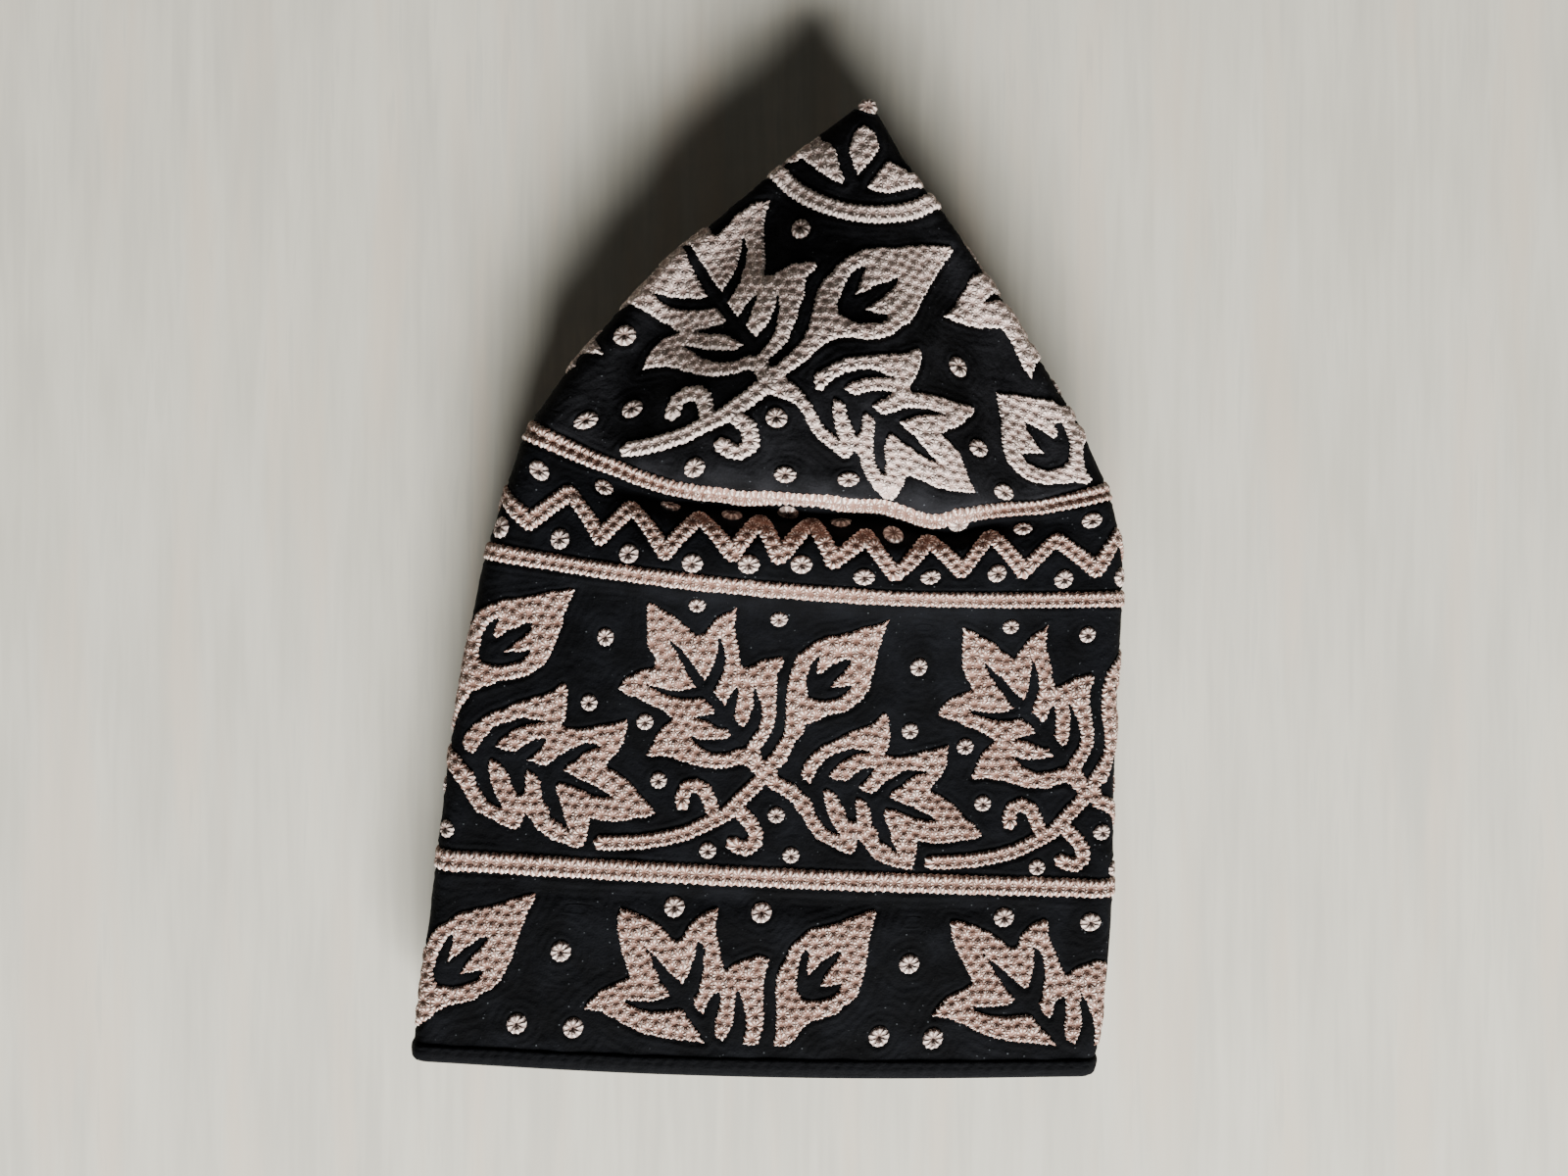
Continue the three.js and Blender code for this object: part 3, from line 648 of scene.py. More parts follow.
def add_object(name, points, faces, material, attributes=None):
    """A mesh object from places in millimetres. Attributes are one row a point."""
    mesh = bpy.data.meshes.new(name)
    mesh.vertices.add(len(points))
    mesh.vertices.foreach_set("co", (np.asarray(points, float) * MM).ravel())
    faces = np.asarray(faces, int)
    corners = faces.shape[1]
    mesh.loops.add(faces.size)
    mesh.loops.foreach_set("vertex_index", faces.ravel())
    mesh.polygons.add(len(faces))
    mesh.polygons.foreach_set("loop_start", np.arange(0, faces.size, corners))
    mesh.polygons.foreach_set("loop_total", np.full(len(faces), corners))
    mesh.polygons.foreach_set("use_smooth", np.ones(len(faces), bool))
    for label, values in (attributes or {}).items():
        values = np.asarray(values, float)
        kind = "FLOAT" if values.ndim == 1 else "FLOAT_VECTOR"
        slot = "value" if values.ndim == 1 else "vector"
        mesh.attributes.new(label, kind, "POINT").data.foreach_set(slot, values.ravel())
    mesh.update()
    mesh.validate()
    mesh.materials.append(material)
    piece = bpy.data.objects.new(name, mesh)
    bpy.context.scene.collection.objects.link(piece)
    return piece


def grid_faces(rows, columns, wrap=False):
    """Quads of a grid of points, row by row."""
    last = columns if wrap else columns - 1
    i, j = np.meshgrid(np.arange(rows - 1), np.arange(last), indexing="ij")
    right = (j + 1) % columns
    a, b = i * columns + j, i * columns + right
    return np.stack([a, b, b + columns, a + columns], -1).reshape(-1, 4)


# Finishes

class Value:
    """A number socket that can be used in sums."""

    def __init__(self, nodes, socket):
        self.nodes = nodes
        self.socket = socket

    def __add__(self, other):
        return self.nodes.maths("ADD", self, other)

    def __radd__(self, other):
        return self.nodes.maths("ADD", other, self)

    def __sub__(self, other):
        return self.nodes.maths("SUBTRACT", self, other)

    def __rsub__(self, other):
        return self.nodes.maths("SUBTRACT", other, self)

    def __mul__(self, other):
        return self.nodes.maths("MULTIPLY", self, other)

    def __rmul__(self, other):
        return self.nodes.maths("MULTIPLY", other, self)


class Nodes:
    """The node tree of one finish."""

    def __init__(self, name):
        self.material = bpy.data.materials.new(name)
        self.material.use_nodes = True
        self.tree = self.material.node_tree
        self.shader = self.tree.nodes["Principled BSDF"]

    def link(self, value, socket):
        """Puts a number, a colour or another node's output on a socket."""
        value = getattr(value, "socket", value)
        if isinstance(value, bpy.types.NodeSocket):
            self.tree.links.new(value, socket)
        else:
            socket.default_value = value

    def node(self, kind, settings=None, inputs=None):
        """A node of a type, with its settings first and then its sockets."""
        node = self.tree.nodes.new(kind)
        for name, value in (settings or {}).items():
            setattr(node, name, value)
        for name, value in (inputs or {}).items():
            self.link(value, node.inputs[name])
        return node

    def maths(self, operation, *values):
        """A Math node as a value."""
        node = self.node("ShaderNodeMath", {"operation": operation}, dict(enumerate(values)))
        return Value(self, node.outputs[0])

    def mix(self, factor, first, second):
        """A colour between two colours."""
        node = self.node("ShaderNodeMix", {"data_type": "RGBA"}, {0: factor, 6: first, 7: second})
        return node.outputs[2]

    def attribute(self, name, output="Fac"):
        """A reading of the mesh's own attribute."""
        return self.node("ShaderNodeAttribute", {"attribute_name": name}).outputs[output]

    def number(self, name):
        """A number attribute as a value."""
        return Value(self, self.attribute(name))

    def noise(self, scale, detail, stretch=None):
        """Noise at a number of grains a metre."""
        vector = self.node("ShaderNodeTexCoord").outputs["Object"]
        if stretch:
            vector = self.node("ShaderNodeVectorMath", {"operation": "MULTIPLY"},
                               {0: vector, 1: stretch}).outputs[0]
        node = self.node("ShaderNodeTexNoise", None,
                         {"Vector": vector, "Scale": scale, "Detail": detail})
        return Value(self, node.outputs["Fac"])

    def ramp(self, value, start, end):
        """0 before start and 1 after end, smoothly."""
        node = self.node("ShaderNodeMapRange", {"interpolation_type": "SMOOTHSTEP"},
                         {"Value": value, "From Min": start, "From Max": end})
        return Value(self, node.outputs[0])

    def finish(self, colour, roughness, height, sheen=0.0):
        """Sets the shader. Height is in millimetres."""
        bump = self.node("ShaderNodeBump", None,
                         {"Strength": 1.0, "Distance": MM, "Height": height})
        self.link(colour, self.shader.inputs["Base Color"])
        self.link(roughness, self.shader.inputs["Roughness"])
        self.link(bump.outputs[0], self.shader.inputs["Normal"])
        self.shader.inputs["Specular IOR Level"].default_value = GLOSS
        self.shader.inputs["Sheen Weight"].default_value = sheen
        self.shader.inputs["Sheen Roughness"].default_value = SHEEN_SOFTNESS
        return self.material


def tone(colour, share=1.0):
    """An opaque colour, made darker or lighter by a share."""
    return tuple(share * c for c in colour) + (1,)


def black_cotton(name, colour):
    """Quilted black cotton: echo lines round the embroidery, fine weave and stitch specks."""
    nodes = Nodes(name)
    edge = nodes.number("edge") + nodes.noise(260, 2) * 0.7 + nodes.noise(70, 2) * 2.5
    echo = nodes.maths("SINE", edge * (2 * math.pi / ECHO_SPACING))
    weave = nodes.noise(2600, 3)
    cloud = nodes.noise(140, 3)
    dots = nodes.node("ShaderNodeTexVoronoi", None,
                      {"Vector": nodes.node("ShaderNodeTexCoord").outputs["Object"], "Scale": 820.0})
    near = 1 - nodes.ramp(Value(nodes, dots.outputs["Distance"]), 0.10, 0.2)
    speck = near * nodes.ramp(echo, 0.2, 0.9) * nodes.ramp(nodes.noise(500, 2), 0.46, 0.6)
    base = nodes.mix(nodes.ramp(cloud + (weave - 0.5) * 0.4, 0.3, 0.75),
                     tone(colour, 0.5), tone(colour, 1.8))
    pale = nodes.mix(speck * 0.6, base, (0.10, 0.11, 0.12, 1))
    height = echo * 0.03 + weave * 0.08 + speck * 0.1 + nodes.noise(500, 3) * 0.3
    return nodes.finish(pale, 0.8 + weave * 0.15, height)


def binding_cotton(colour):
    """The black binding: a tighter weave, with a faint sheen painted along its roll as lighter
    streaks.
    """
    nodes = Nodes("binding_cotton")
    weave = nodes.noise(2400, 3)
    streak = nodes.noise(300, 3, stretch=(1, 3, 3))
    # Painted sheen: lighter streaks along the roll are mixed into the base colour
    base = nodes.mix(streak, tone(colour, 0.6), tone(colour, 1.6))
    return nodes.finish(base, 0.72 + weave * 0.2, weave * 0.08 + streak * 0.12)


def stitched_thread(name, colour, pit_shade_colour):
    """Pale thread worked in little rings, with painted shade darkening the pit of each, threads
    round it and painted highlights.
    """
    nodes = Nodes(name)
    cell = nodes.node("ShaderNodeSeparateXYZ", None, {0: nodes.attribute("cell", "Vector")})
    x, y, chance = (Value(nodes, cell.outputs[k]) for k in range(3))
    radius = nodes.maths("SQRT", x * x + y * y)
    angle = nodes.maths("ARCTAN2", y, x)
    fine = nodes.noise(2200, 3)
    rough = nodes.noise(900, 3)
    thread = nodes.maths("SINE", angle * THREADS + (fine - 0.5) * 3.0 + chance * 6.3)
    rim = nodes.ramp(radius + (rough - 0.5) * 1.1, 0.25, 1.2)
    # Painted shade: each ring's pit is darkened towards the pit shade colour, as shade falls in the
    # hollow
    pit = (1 - rim) * (0.55 + chance * 0.5)
    shade = 0.16 + pit + (rough - 0.5) * 1.3 - thread * 0.2
    body = nodes.mix(nodes.ramp(shade, 0.0, 1.0), tone(colour), tone(pit_shade_colour))
    # Painted highlight: bright glints along the threads' crests are mixed into the base colour
    glint = nodes.ramp(fine * 0.8 + thread * 0.25 + (rough - 0.5) * 0.6, 0.44, 0.56) * rim
    lit = nodes.mix(glint, body, (1.0, 0.85, 0.76, 1))
    height = rim * 0.3 + thread * 0.14 * rim + fine * 0.25
    return nodes.finish(lit, 0.5 + fine * 0.3, height, 0.05)


def floor_finish(colour):
    """Pale smooth table top with faint streaks along the view's height."""
    nodes = Nodes("pale_table")
    streak = nodes.noise(520, 3, stretch=(1, 0.06, 1))
    broad = nodes.noise(120, 3, stretch=(1, 0.12, 1))
    patch = nodes.noise(34, 2, stretch=(1, 0.4, 1))
    cloud = nodes.ramp(broad * 0.4 + patch * 0.3 + streak * 0.3, 0.36, 0.64)
    base = nodes.mix(cloud, tone(colour, 0.9), tone(colour, 1.09))
    warm = nodes.ramp(nodes.noise(75, 3, stretch=(1, 0.1, 1)), 0.5, 0.66)
    beige = nodes.mix(warm * 0.55, base, (0.75, 0.655, 0.53, 1))
    grey = nodes.ramp(streak, 0.56, 0.66) * nodes.ramp(patch, 0.4, 0.6)
    veined = nodes.mix(grey * 0.3, beige, (0.52, 0.52, 0.46, 1))
    return nodes.finish(veined, 0.55, streak * 0.02)


# Black cloth

def under_share(station):
    """1 on the under sheet, 0 on the face sheet and the upper folds."""
    return smooth((station - 5.1) / 0.8) * smooth((7.9 - station) / 0.8)


def pucker(level, arc):
    """Gentle unevenness of the sewn cloth, in millimetres."""
    waves = ((0.52, 0.31, 0.4), (-0.38, 0.66, 1.9), (0.83, -0.12, 3.1), (0.21, 0.95, 5.2))
    return sum(np.sin(a * arc + b * level + c) for a, b, c in waves) / len(waves)


def base_offset(level, station):
    """Outward offset of the flat black cloth from the middle of the cloth."""
    shown = np.clip(1.6 - np.abs(((station - FACE_MIDDLE + 3) % 6) - 3), 0, 1)
    arc = LOOP.arc(level, station, FACE_MIDDLE)
    seam = -SEAM_DEPTH * bell(level - WALL_HEIGHT, 0.6)
    return CLOTH / 2 - 0.12 + shown * (0.12 * pucker(level, arc) + seam) - 0.4 * under_share(station)


def ground_offset(level, station, edge):
    """The same with the groove round the stitching and the ridge beyond it."""
    relief = 0.13 * bell(edge - 1.0, 0.5) - 0.22 * bell(edge, 0.45)
    return base_offset(level, station) + np.where(edge < FIELD_REACH, relief, 0)


def loop_stations(face, fold, leaf, inner, under):
    """Stations round the loop with a number of steps for each stretch."""
    counts = {"face": face, "high_outer": fold, "low_outer": fold, "high_leaf": leaf,
              "low_leaf": leaf, "inner": inner, "under": under}
    return np.concatenate([i + np.arange(counts[name]) / counts[name]
                           for i, name in enumerate(STRETCHES)])


def flatten_on_table(points):
    """Nothing goes below the table top."""
    points[..., 2] = np.maximum(points[..., 2], TABLE_GAP)
    return points


def ground_piece(name, node, levels, inner_levels, stations, material):
    """One sewn piece of black cloth with its outer and its inner surface."""
    level, station = np.meshgrid(levels, stations, indexing="ij")
    edge = edge_distance(level, station)
    outer = on_cloth(level, station, ground_offset(level, station, edge))
    inner_level, inner_station = np.meshgrid(inner_levels, stations[::INSIDE_COLUMNS],
                                             indexing="ij")
    inner = on_cloth(inner_level, inner_station, np.full(inner_level.shape, -CLOTH / 2))
    faces = grid_faces(*level.shape, wrap=True)
    back = grid_faces(*inner_level.shape, wrap=True)[:, ::-1] + level.size
    points = flatten_on_table(np.concatenate([outer.reshape(-1, 3), inner.reshape(-1, 3)]))
    edges = np.concatenate([edge.ravel(), np.full(inner_level.size, FIELD_REACH + 2)])
    piece = add_object(name, points, np.concatenate([faces, back]), material, {"edge": edges})
    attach(piece, "root")
    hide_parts(node)


# Laying the embroidery out flat

def in_view(points):
    """Where places in millimetres show in the camera's view, in steps from its top left."""
    scale = CAMERA_LENS / SENSOR_WIDTH * PICTURE_WIDTH / (CAMERA_PLACE[2] - points[..., 2])
    return np.stack([PICTURE_WIDTH / 2 + (points[..., 0] - CAMERA_PLACE[0]) * scale,
                     PICTURE_HEIGHT / 2 - (points[..., 1] - CAMERA_PLACE[1]) * scale], -1)


class ChartReader:
    """Finds the place on the cloth that shows at a place in the view."""

    def __init__(self):
        self.level, self.station = np.meshgrid(
            np.arange(0, CHART_TOP + 0.1, 1.0),
            np.arange(CHART_STATIONS[0], CHART_STATIONS[1] + 0.001, 0.01), indexing="ij")
        self.points = self.surface(self.level, self.station)
        self.shown = in_view(self.points)

    def surface(self, level, station):
        """Outer surface of the face sheet and the upper folds."""
        return on_cloth(level, station, np.full(np.shape(level), CLOTH / 2))

    def read(self, steps):
        """Level and station for each place in the view."""
        starts = []
        for step in steps:
            miss = ((self.shown - step) ** 2).sum(-1) - 0.3 * self.points[..., 2]
            starts.append(miss.argmin())
        level = self.level.ravel()[starts]
        station = self.station.ravel()[starts]
        for _ in range(5):
            miss = in_view(self.surface(level, station)) - steps
            by_level = (in_view(self.surface(level + 0.2, station))
                        - in_view(self.surface(level - 0.2, station))) / 0.4
            by_station = (in_view(self.surface(level, station + 0.004))
                          - in_view(self.surface(level, station - 0.004))) / 0.008
            slopes = by_level[:, 0] * by_station[:, 1] - by_level[:, 1] * by_station[:, 0]
            slopes = np.where(np.abs(slopes) < 1e-6, 1e-6, slopes)
            move = (miss[:, 0] * by_station[:, 1] - miss[:, 1] * by_station[:, 0]) / slopes
            turn = (by_level[:, 0] * miss[:, 1] - by_level[:, 1] * miss[:, 0]) / slopes
            level = np.clip(level - np.clip(move, -2, 2), 0, CHART_TOP)
            station = np.clip(station - np.clip(turn, -0.03, 0.03), *CHART_STATIONS)
        return level, station


READER = ChartReader()


def charted(rows, origin):
    """Level and station of charted places on the cloth."""
    rows = np.array([row[:2] for row in rows], float)
    steps = np.stack([origin[0] + rows[:, 0], origin[1] - rows[:, 1]], -1)
    return READER.read(steps)


def on_wall(rows):
    """Charted places laid out flat: length round the wall and level, in millimetres."""
    level, station = charted(rows, WALL_ORIGIN)
    return np.stack([LOOP.arc(level, station, FACE_MIDDLE), level], -1)


def on_crown(rows, turn=0.0):
    """Charted places laid out flat on the crown's disc, whose middle is the tip."""
    level, station = charted(rows, CROWN_ORIGIN)
    radius = np.maximum(TIP_LEVEL - level, 0.1)
    return turned(polar(radius, LOOP.arc(level, station, FACE_MIDDLE) / radius), turn)


def polar(radius, angle):
    """Places on the disc. Angle 0 points from the tip to the middle of the face's rim."""
    return np.stack([radius * np.sin(angle), -radius * np.cos(angle)], -1)


def turned(points, degrees):
    """Places turned about the tip."""
    a = math.radians(degrees)
    x, y = points[:, 0], points[:, 1]
    return np.stack([x * math.cos(a) - y * math.sin(a), x * math.sin(a) + y * math.cos(a)], -1)


def wall_to_cloth(points, middle):
    """Level and station of flat places on the wall."""
    return points[..., 1], LOOP.station(points[..., 1], points[..., 0], middle)


def crown_to_cloth(points, middle):
    """Level and station of flat places on the crown's disc."""
    radius = np.hypot(points[..., 0], points[..., 1])
    level = np.clip(TIP_LEVEL - radius, 0, DISC_TOP)
    arc = np.arctan2(points[..., 0], -points[..., 1]) * radius
    return level, LOOP.station(level, arc, middle)


def stroke_widths(rows):
    """Half widths of a charted stroke in millimetres."""
    return np.array([row[2] for row in rows]) * CHART_STEP


def outline_distance(x, y, outline):
    """Distance inside a closed outline, negative outside."""
    nearest = np.full(x.shape, 1e9)
    inside = np.zeros(x.shape, bool)
    for (ax, ay), (bx, by) in zip(outline, np.roll(outline, -1, 0)):
        ux, uy = bx - ax, by - ay
        share = np.clip(((x - ax) * ux + (y - ay) * uy) / max(ux * ux + uy * uy, 1e-9), 0, 1)
        nearest = np.minimum(nearest, (x - ax - share * ux) ** 2 + (y - ay - share * uy) ** 2)
        if ay != by:
            inside ^= ((y < ay) != (y < by)) & (x < ax + (y - ay) / (by - ay) * ux)
    return np.where(inside, 1, -1) * np.sqrt(nearest)


def stroke_distance(x, y, line, widths):
    """Distance inside a stroke whose half width changes along it."""
    best = np.full(x.shape, -1e9)
    for (ax, ay), (bx, by), wide, narrow in zip(line[:-1], line[1:], widths[:-1], widths[1:]):
        ux, uy = bx - ax, by - ay
        share = np.clip(((x - ax) * ux + (y - ay) * uy) / max(ux * ux + uy * uy, 1e-9), 0, 1)
        away = np.hypot(x - ax - share * ux, y - ay - share * uy)
        best = np.maximum(best, wide + (narrow - wide) * share - away)
    return best


class Motif:
    """A stitched form: closed outlines and strokes, less the slits cut in it."""

    def __init__(self, outlines=(), strokes=(), slits=(), vein_strokes=()):
        self.outlines = list(outlines)
        self.strokes = list(strokes)
        self.slits = list(slits)
        self.vein_strokes = list(vein_strokes)

    def moved(self, move):
        """The same motif with every place moved by a function."""
        return Motif([move(o) for o in self.outlines], [(move(s), w) for s, w in self.strokes],
                     [move(o) for o in self.slits], [(move(s), w) for s, w in self.vein_strokes])

    def corners(self):
        """Lowest and highest corner."""
        points = np.concatenate(self.outlines + [line for line, _ in self.strokes])
        return points.min(0), points.max(0)

    def distance(self, x, y):
        """Distance inside the motif."""
        best = np.full(x.shape, -1e9)
        for outline in self.outlines:
            best = np.maximum(best, outline_distance(x, y, outline))
        for line, widths in self.strokes:
            best = np.maximum(best, stroke_distance(x, y, line, widths))
        for outline in self.slits:
            best = np.minimum(best, -outline_distance(x, y, outline))
        for line, widths in self.vein_strokes:
            best = np.minimum(best, -stroke_distance(x, y, line, widths))
        return best


def along(line, pitch):
    """Places a pitch apart along a line."""
    length = np.concatenate([[0], np.cumsum(np.hypot(*np.diff(line, axis=0).T))])
    steps = max(int(length[-1] / pitch), 1)
    places = (np.arange(steps) + 0.5) * length[-1] / steps
    return np.stack([np.interp(places, length, line[:, k]) for k in (0, 1)], -1)


class FlatField:
    """Distance inside the embroidery on a flat grid, in millimetres."""

    def __init__(self, low, high, step):
        self.low = np.array(low, float)
        self.step = step
        self.x = np.arange(low[0], high[0], step)
        self.y = np.arange(low[1], high[1], step)
        self.stitched = np.full((len(self.x), len(self.y)), -FIELD_REACH)
        self.dotted = self.stitched.copy()
        self.dots = []
        self.rows = []

    def window(self, low, high):
        """The part of the grid round a box."""
        a = np.clip(((low - FIELD_REACH - self.low) / self.step).astype(int), 0, None)
        b = ((high + FIELD_REACH - self.low) / self.step).astype(int) + 2
        part = (slice(a[0], max(b[0], 0)), slice(a[1], max(b[1], 0)))
        return part, np.meshgrid(self.x[part[0]], self.y[part[1]], indexing="ij")

    def add(self, motif, above=None):
        """Stitches a motif, above a value of the second coordinate where given."""
        part, (x, y) = self.window(*motif.corners())
        if x.size == 0:
            return
        distance = motif.distance(x, y)
        if above is not None:
            distance = np.minimum(distance, y - above)
        self.stitched[part] = np.maximum(self.stitched[part], distance)
        for line, _ in motif.strokes:
            self.rows.extend(along(line, CELL_PITCH))

    def add_dot(self, centre, radius):
        """Sews an eyelet dot."""
        part, (x, y) = self.window(centre, centre)
        if x.size == 0:
            return
        away = radius - np.hypot(x - centre[0], y - centre[1])
        self.dotted[part] = np.maximum(self.dotted[part], away)
        self.dots.append((centre, radius))

    def read(self, points):
        """Distance inside any embroidery at flat places."""
        whole = np.maximum(self.stitched, self.dotted)
        place = (points - self.low) / self.step
        size = np.array(whole.shape)
        outside = ((place < 0) | (place > size - 1.001)).any(-1)
        place = np.clip(place, 0, size - 1.001)
        i, j = place[..., 0].astype(int), place[..., 1].astype(int)
        s, t = place[..., 0] - i, place[..., 1] - j
        value = ((whole[i, j] * (1 - s) + whole[i + 1, j] * s) * (1 - t)
                 + (whole[i, j + 1] * (1 - s) + whole[i + 1, j + 1] * s) * t)
        return np.where(outside, -FIELD_REACH, value)


def wall_period(level):
    """Width of one repeat of the wall's pattern."""
    levels, widths = np.array(WALL_REPEATS, float).T
    return np.interp(level, levels, widths)


def repeat_copy(number, off):
    """Moves flat places by a number of repeats round the wall."""
    shift, lift, spread = off[int(number > 0)] if number else (0, 0, 0)

    def move(points):
        place = points[:, 0] + number * wall_period(points[:, 1]) + shift
        place -= spread * np.clip(SPREAD_START - place, 0, SPREAD_REACH)
        return np.stack([place, points[:, 1] + lift], -1)
    return move


def wall_motifs():
    """The leaf, paisley, spray and vine of one repeat of the wall."""
    return [
        Motif([on_wall(WALL_LEAF)], [], [],
              [(on_wall(vein), stroke_widths(vein)) for vein in WALL_LEAF_VEINS]),
        Motif([on_wall(WALL_PAISLEY)], [], [on_wall(WALL_PAISLEY_VEIN)]),
        Motif([on_wall(WALL_SPRAY)]),
        Motif([], [(on_wall(stroke), stroke_widths(stroke)) for stroke in WALL_VINE]),
    ]


def extended(points, pitch):
    """A row of places carried on at both ends with a steady pitch."""
    before = [points[0] - (pitch * n, 0) for n in range(4, 0, -1)]
    after = [points[-1] + (pitch * n, 0) for n in range(1, 5)]
    return np.concatenate([before, points, after])


def wall_field():
    """The whole embroidery of the wall, laid out flat."""
    field = FlatField((-WALL_SPAN, BINDING_HEIGHT), (WALL_SPAN, WALL_HEIGHT + 5.5), FIELD_STEP)
    hem_motifs = (Motif([on_wall(HEM_LEAF)]),
                  Motif([on_wall(HEM_PAISLEY)], [], [on_wall(HEM_PAISLEY_VEIN)]))
    for number in range(-2, 3):
        for motif in wall_motifs():
            field.add(motif.moved(repeat_copy(number, WALL_OFF)))
        for motif in hem_motifs:
            field.add(motif.moved(repeat_copy(number, HEM_OFF)), above=HEM_CLEAR)
    for level, half_width in BORDERS:
        ends = np.array([(-WALL_SPAN, level), (0, level), (WALL_SPAN, level)])
        field.add(Motif([], [(ends, np.full(3, half_width))]))
    rim = on_wall(RIM_LINE)
    sway = np.clip(rim[:, 1] - RIM_LINE_LEVEL, -RIM_LINE_SWAY, RIM_LINE_SWAY)
    rim[:, 1] = RIM_LINE_LEVEL + sway
    rim = np.concatenate([[(-WALL_SPAN, RIM_LINE_LEVEL)], rim, [(WALL_SPAN, RIM_LINE_LEVEL)]])
    field.add(Motif([], [(rim, np.full(len(rim), RIM_LINE_HALF_WIDTH))]))
    tops = extended(on_wall(ZIGZAG_TOPS), ZIGZAG_PITCH)
    feet = extended(on_wall(ZIGZAG_FEET), ZIGZAG_PITCH)
    zigzag = np.concatenate([tops, feet])
    zigzag = zigzag[np.argsort(zigzag[:, 0])]
    field.add(Motif([], [(zigzag, np.full(len(zigzag), ZIGZAG_HALF_WIDTH))]))
    for number in range(-2, 3):
        for dot in repeat_copy(number, WALL_OFF)(on_wall(WALL_DOTS)):
            field.add_dot(dot, WALL_DOT_RADIUS)
        for dot in repeat_copy(number, HEM_OFF)(on_wall(HEM_DOTS)):
            field.add_dot(dot, DOT_RADIUS)
    for chart in (ZIGZAG_DOTS_ABOVE, ZIGZAG_DOTS_BELOW):
        for dot in extended(on_wall(chart), ZIGZAG_PITCH):
            field.add_dot(dot, DOT_RADIUS)
    return field


def crown_motifs():
    """The leaf, paislies, spray and vine of one quarter of the crown."""
    leaf = np.concatenate([on_crown(CROWN_LEAF_BELOW), on_crown(CROWN_LEAF_BEYOND, -90),
                           on_crown(CROWN_LEAF_ABOVE)])
    veins = [(on_crown(vein), stroke_widths(vein)) for vein in CROWN_LEAF_VEINS]
    beyond = on_crown(CROWN_VEIN_BEYOND, -90)
    last, widths = veins[-1]
    veins[-1] = (np.concatenate([beyond, last]),
                 np.concatenate([stroke_widths(CROWN_VEIN_BEYOND), widths]))
    return [
        Motif([leaf], [], [], veins),
        Motif([on_crown(CROWN_PAISLEY)], [], [on_crown(CROWN_PAISLEY_VEIN)]),
        Motif([on_crown(CROWN_SPRAY)]),
        Motif([], [(on_crown(stroke), SLOPE_WIDENING * stroke_widths(stroke))
                   for stroke in CROWN_VINE]),
        Motif([on_crown(CORNER_PAISLEY)], [], [on_crown(CORNER_PAISLEY_VEIN)]),
    ]


def crown_field():
    """The whole embroidery of the crown, laid out flat on its disc."""
    field = FlatField(*CROWN_CORNERS, FIELD_STEP)
    for motif in crown_motifs():
        for quarter in (-1, 0, 1):
            field.add(motif.moved(lambda points, a=90 * quarter: turned(points, a)))
    for rows, turns in ((ROSETTE_PETAL, (-90, 0, 90)), (ROSETTE_LEFT, (0, -90)),
                        (ROSETTE_RIGHT, (0, 90))):
        for turn in turns:
            field.add(Motif([on_crown(rows, turn)]))
    ring = polar(np.full(41, RING_RADIUS), np.radians(np.linspace(-100, 100, 41)))
    field.add(Motif([], [(ring, np.full(41, RING_HALF_WIDTH))]))
    for quarter in (-1, 0, 1):
        for dot in turned(on_crown(CROWN_DOTS), 90 * quarter):
            if dot[1] < 0:
                field.add_dot(dot, DOT_RADIUS)
    return field


def apart(points, others, reach):
    """The points that lie farther than a reach from the others and from each other."""
    kept = list(others)
    count = len(kept)
    for point in points:
        near = np.array(kept or [(1e9, 1e9)])
        if np.hypot(*(near - point).T).min() > reach:
            kept.append(point)
    return np.array(kept[count:]).reshape(-1, 2)


def ring_cells(field, random):
    """Middles of the little stitched rings that fill the embroidery, and a chance for each.

    Strokes carry one row of rings. In the leaves the rings settle side by side.
    """
    rows = int((field.y[-1] - field.y[0]) / (CELL_PITCH * CELL_ROWS))
    columns = int((field.x[-1] - field.x[0]) / CELL_PITCH)
    i, j = np.meshgrid(np.arange(columns), np.arange(rows), indexing="ij")
    seeds = np.stack([field.low[0] + (i + 0.5 * (j % 2)) * CELL_PITCH,
                      field.low[1] + j * CELL_PITCH * CELL_ROWS], -1).reshape(-1, 2)
    seeds = seeds + random.uniform(-0.35, 0.35, seeds.shape)
    inside = field.stitched[::2, ::2] > 0.15
    x, y = np.meshgrid(field.x[::2], field.y[::2], indexing="ij")
    samples = np.stack([x[inside], y[inside]], -1)
    place = np.clip(((seeds - field.low) / field.step).astype(int), 0,
                    np.array(field.stitched.shape) - 1)
    fixed = apart(field.rows, [], 0.7 * CELL_PITCH)
    loose = seeds[field.stitched[place[:, 0], place[:, 1]] > 0.5]
    cells = np.concatenate([fixed, loose[nearest_distance(fixed, loose) > 0.9 * CELL_PITCH]])
    free = np.arange(len(cells)) >= len(fixed)
    for _ in range(6):
        owner = nearest_cell(cells, samples)
        count = np.bincount(owner, minlength=len(cells))
        middle = np.stack([np.bincount(owner, samples[:, k], len(cells)) for k in (0, 1)], -1)
        moving = free & (count > 0)
        cells[moving] = middle[moving] / count[moving, None]
    return cells, random.uniform(0, 1, len(cells))


def cell_tree(cells):
    """A search tree of flat places."""
    tree = KDTree(len(cells))
    for index, (x, y) in enumerate(cells):
        tree.insert((x, y, 0), index)
    tree.balance()
    return tree


def nearest_distance(cells, points):
    """Distance to the nearest cell for each flat place."""
    tree = cell_tree(cells)
    return np.array([tree.find((x, y, 0))[2] for x, y in points])


def nearest_cell(cells, points):
    """Index of the nearest cell for each flat place."""
    tree = cell_tree(cells)
    return np.array([tree.find((x, y, 0))[1] for x, y in points])


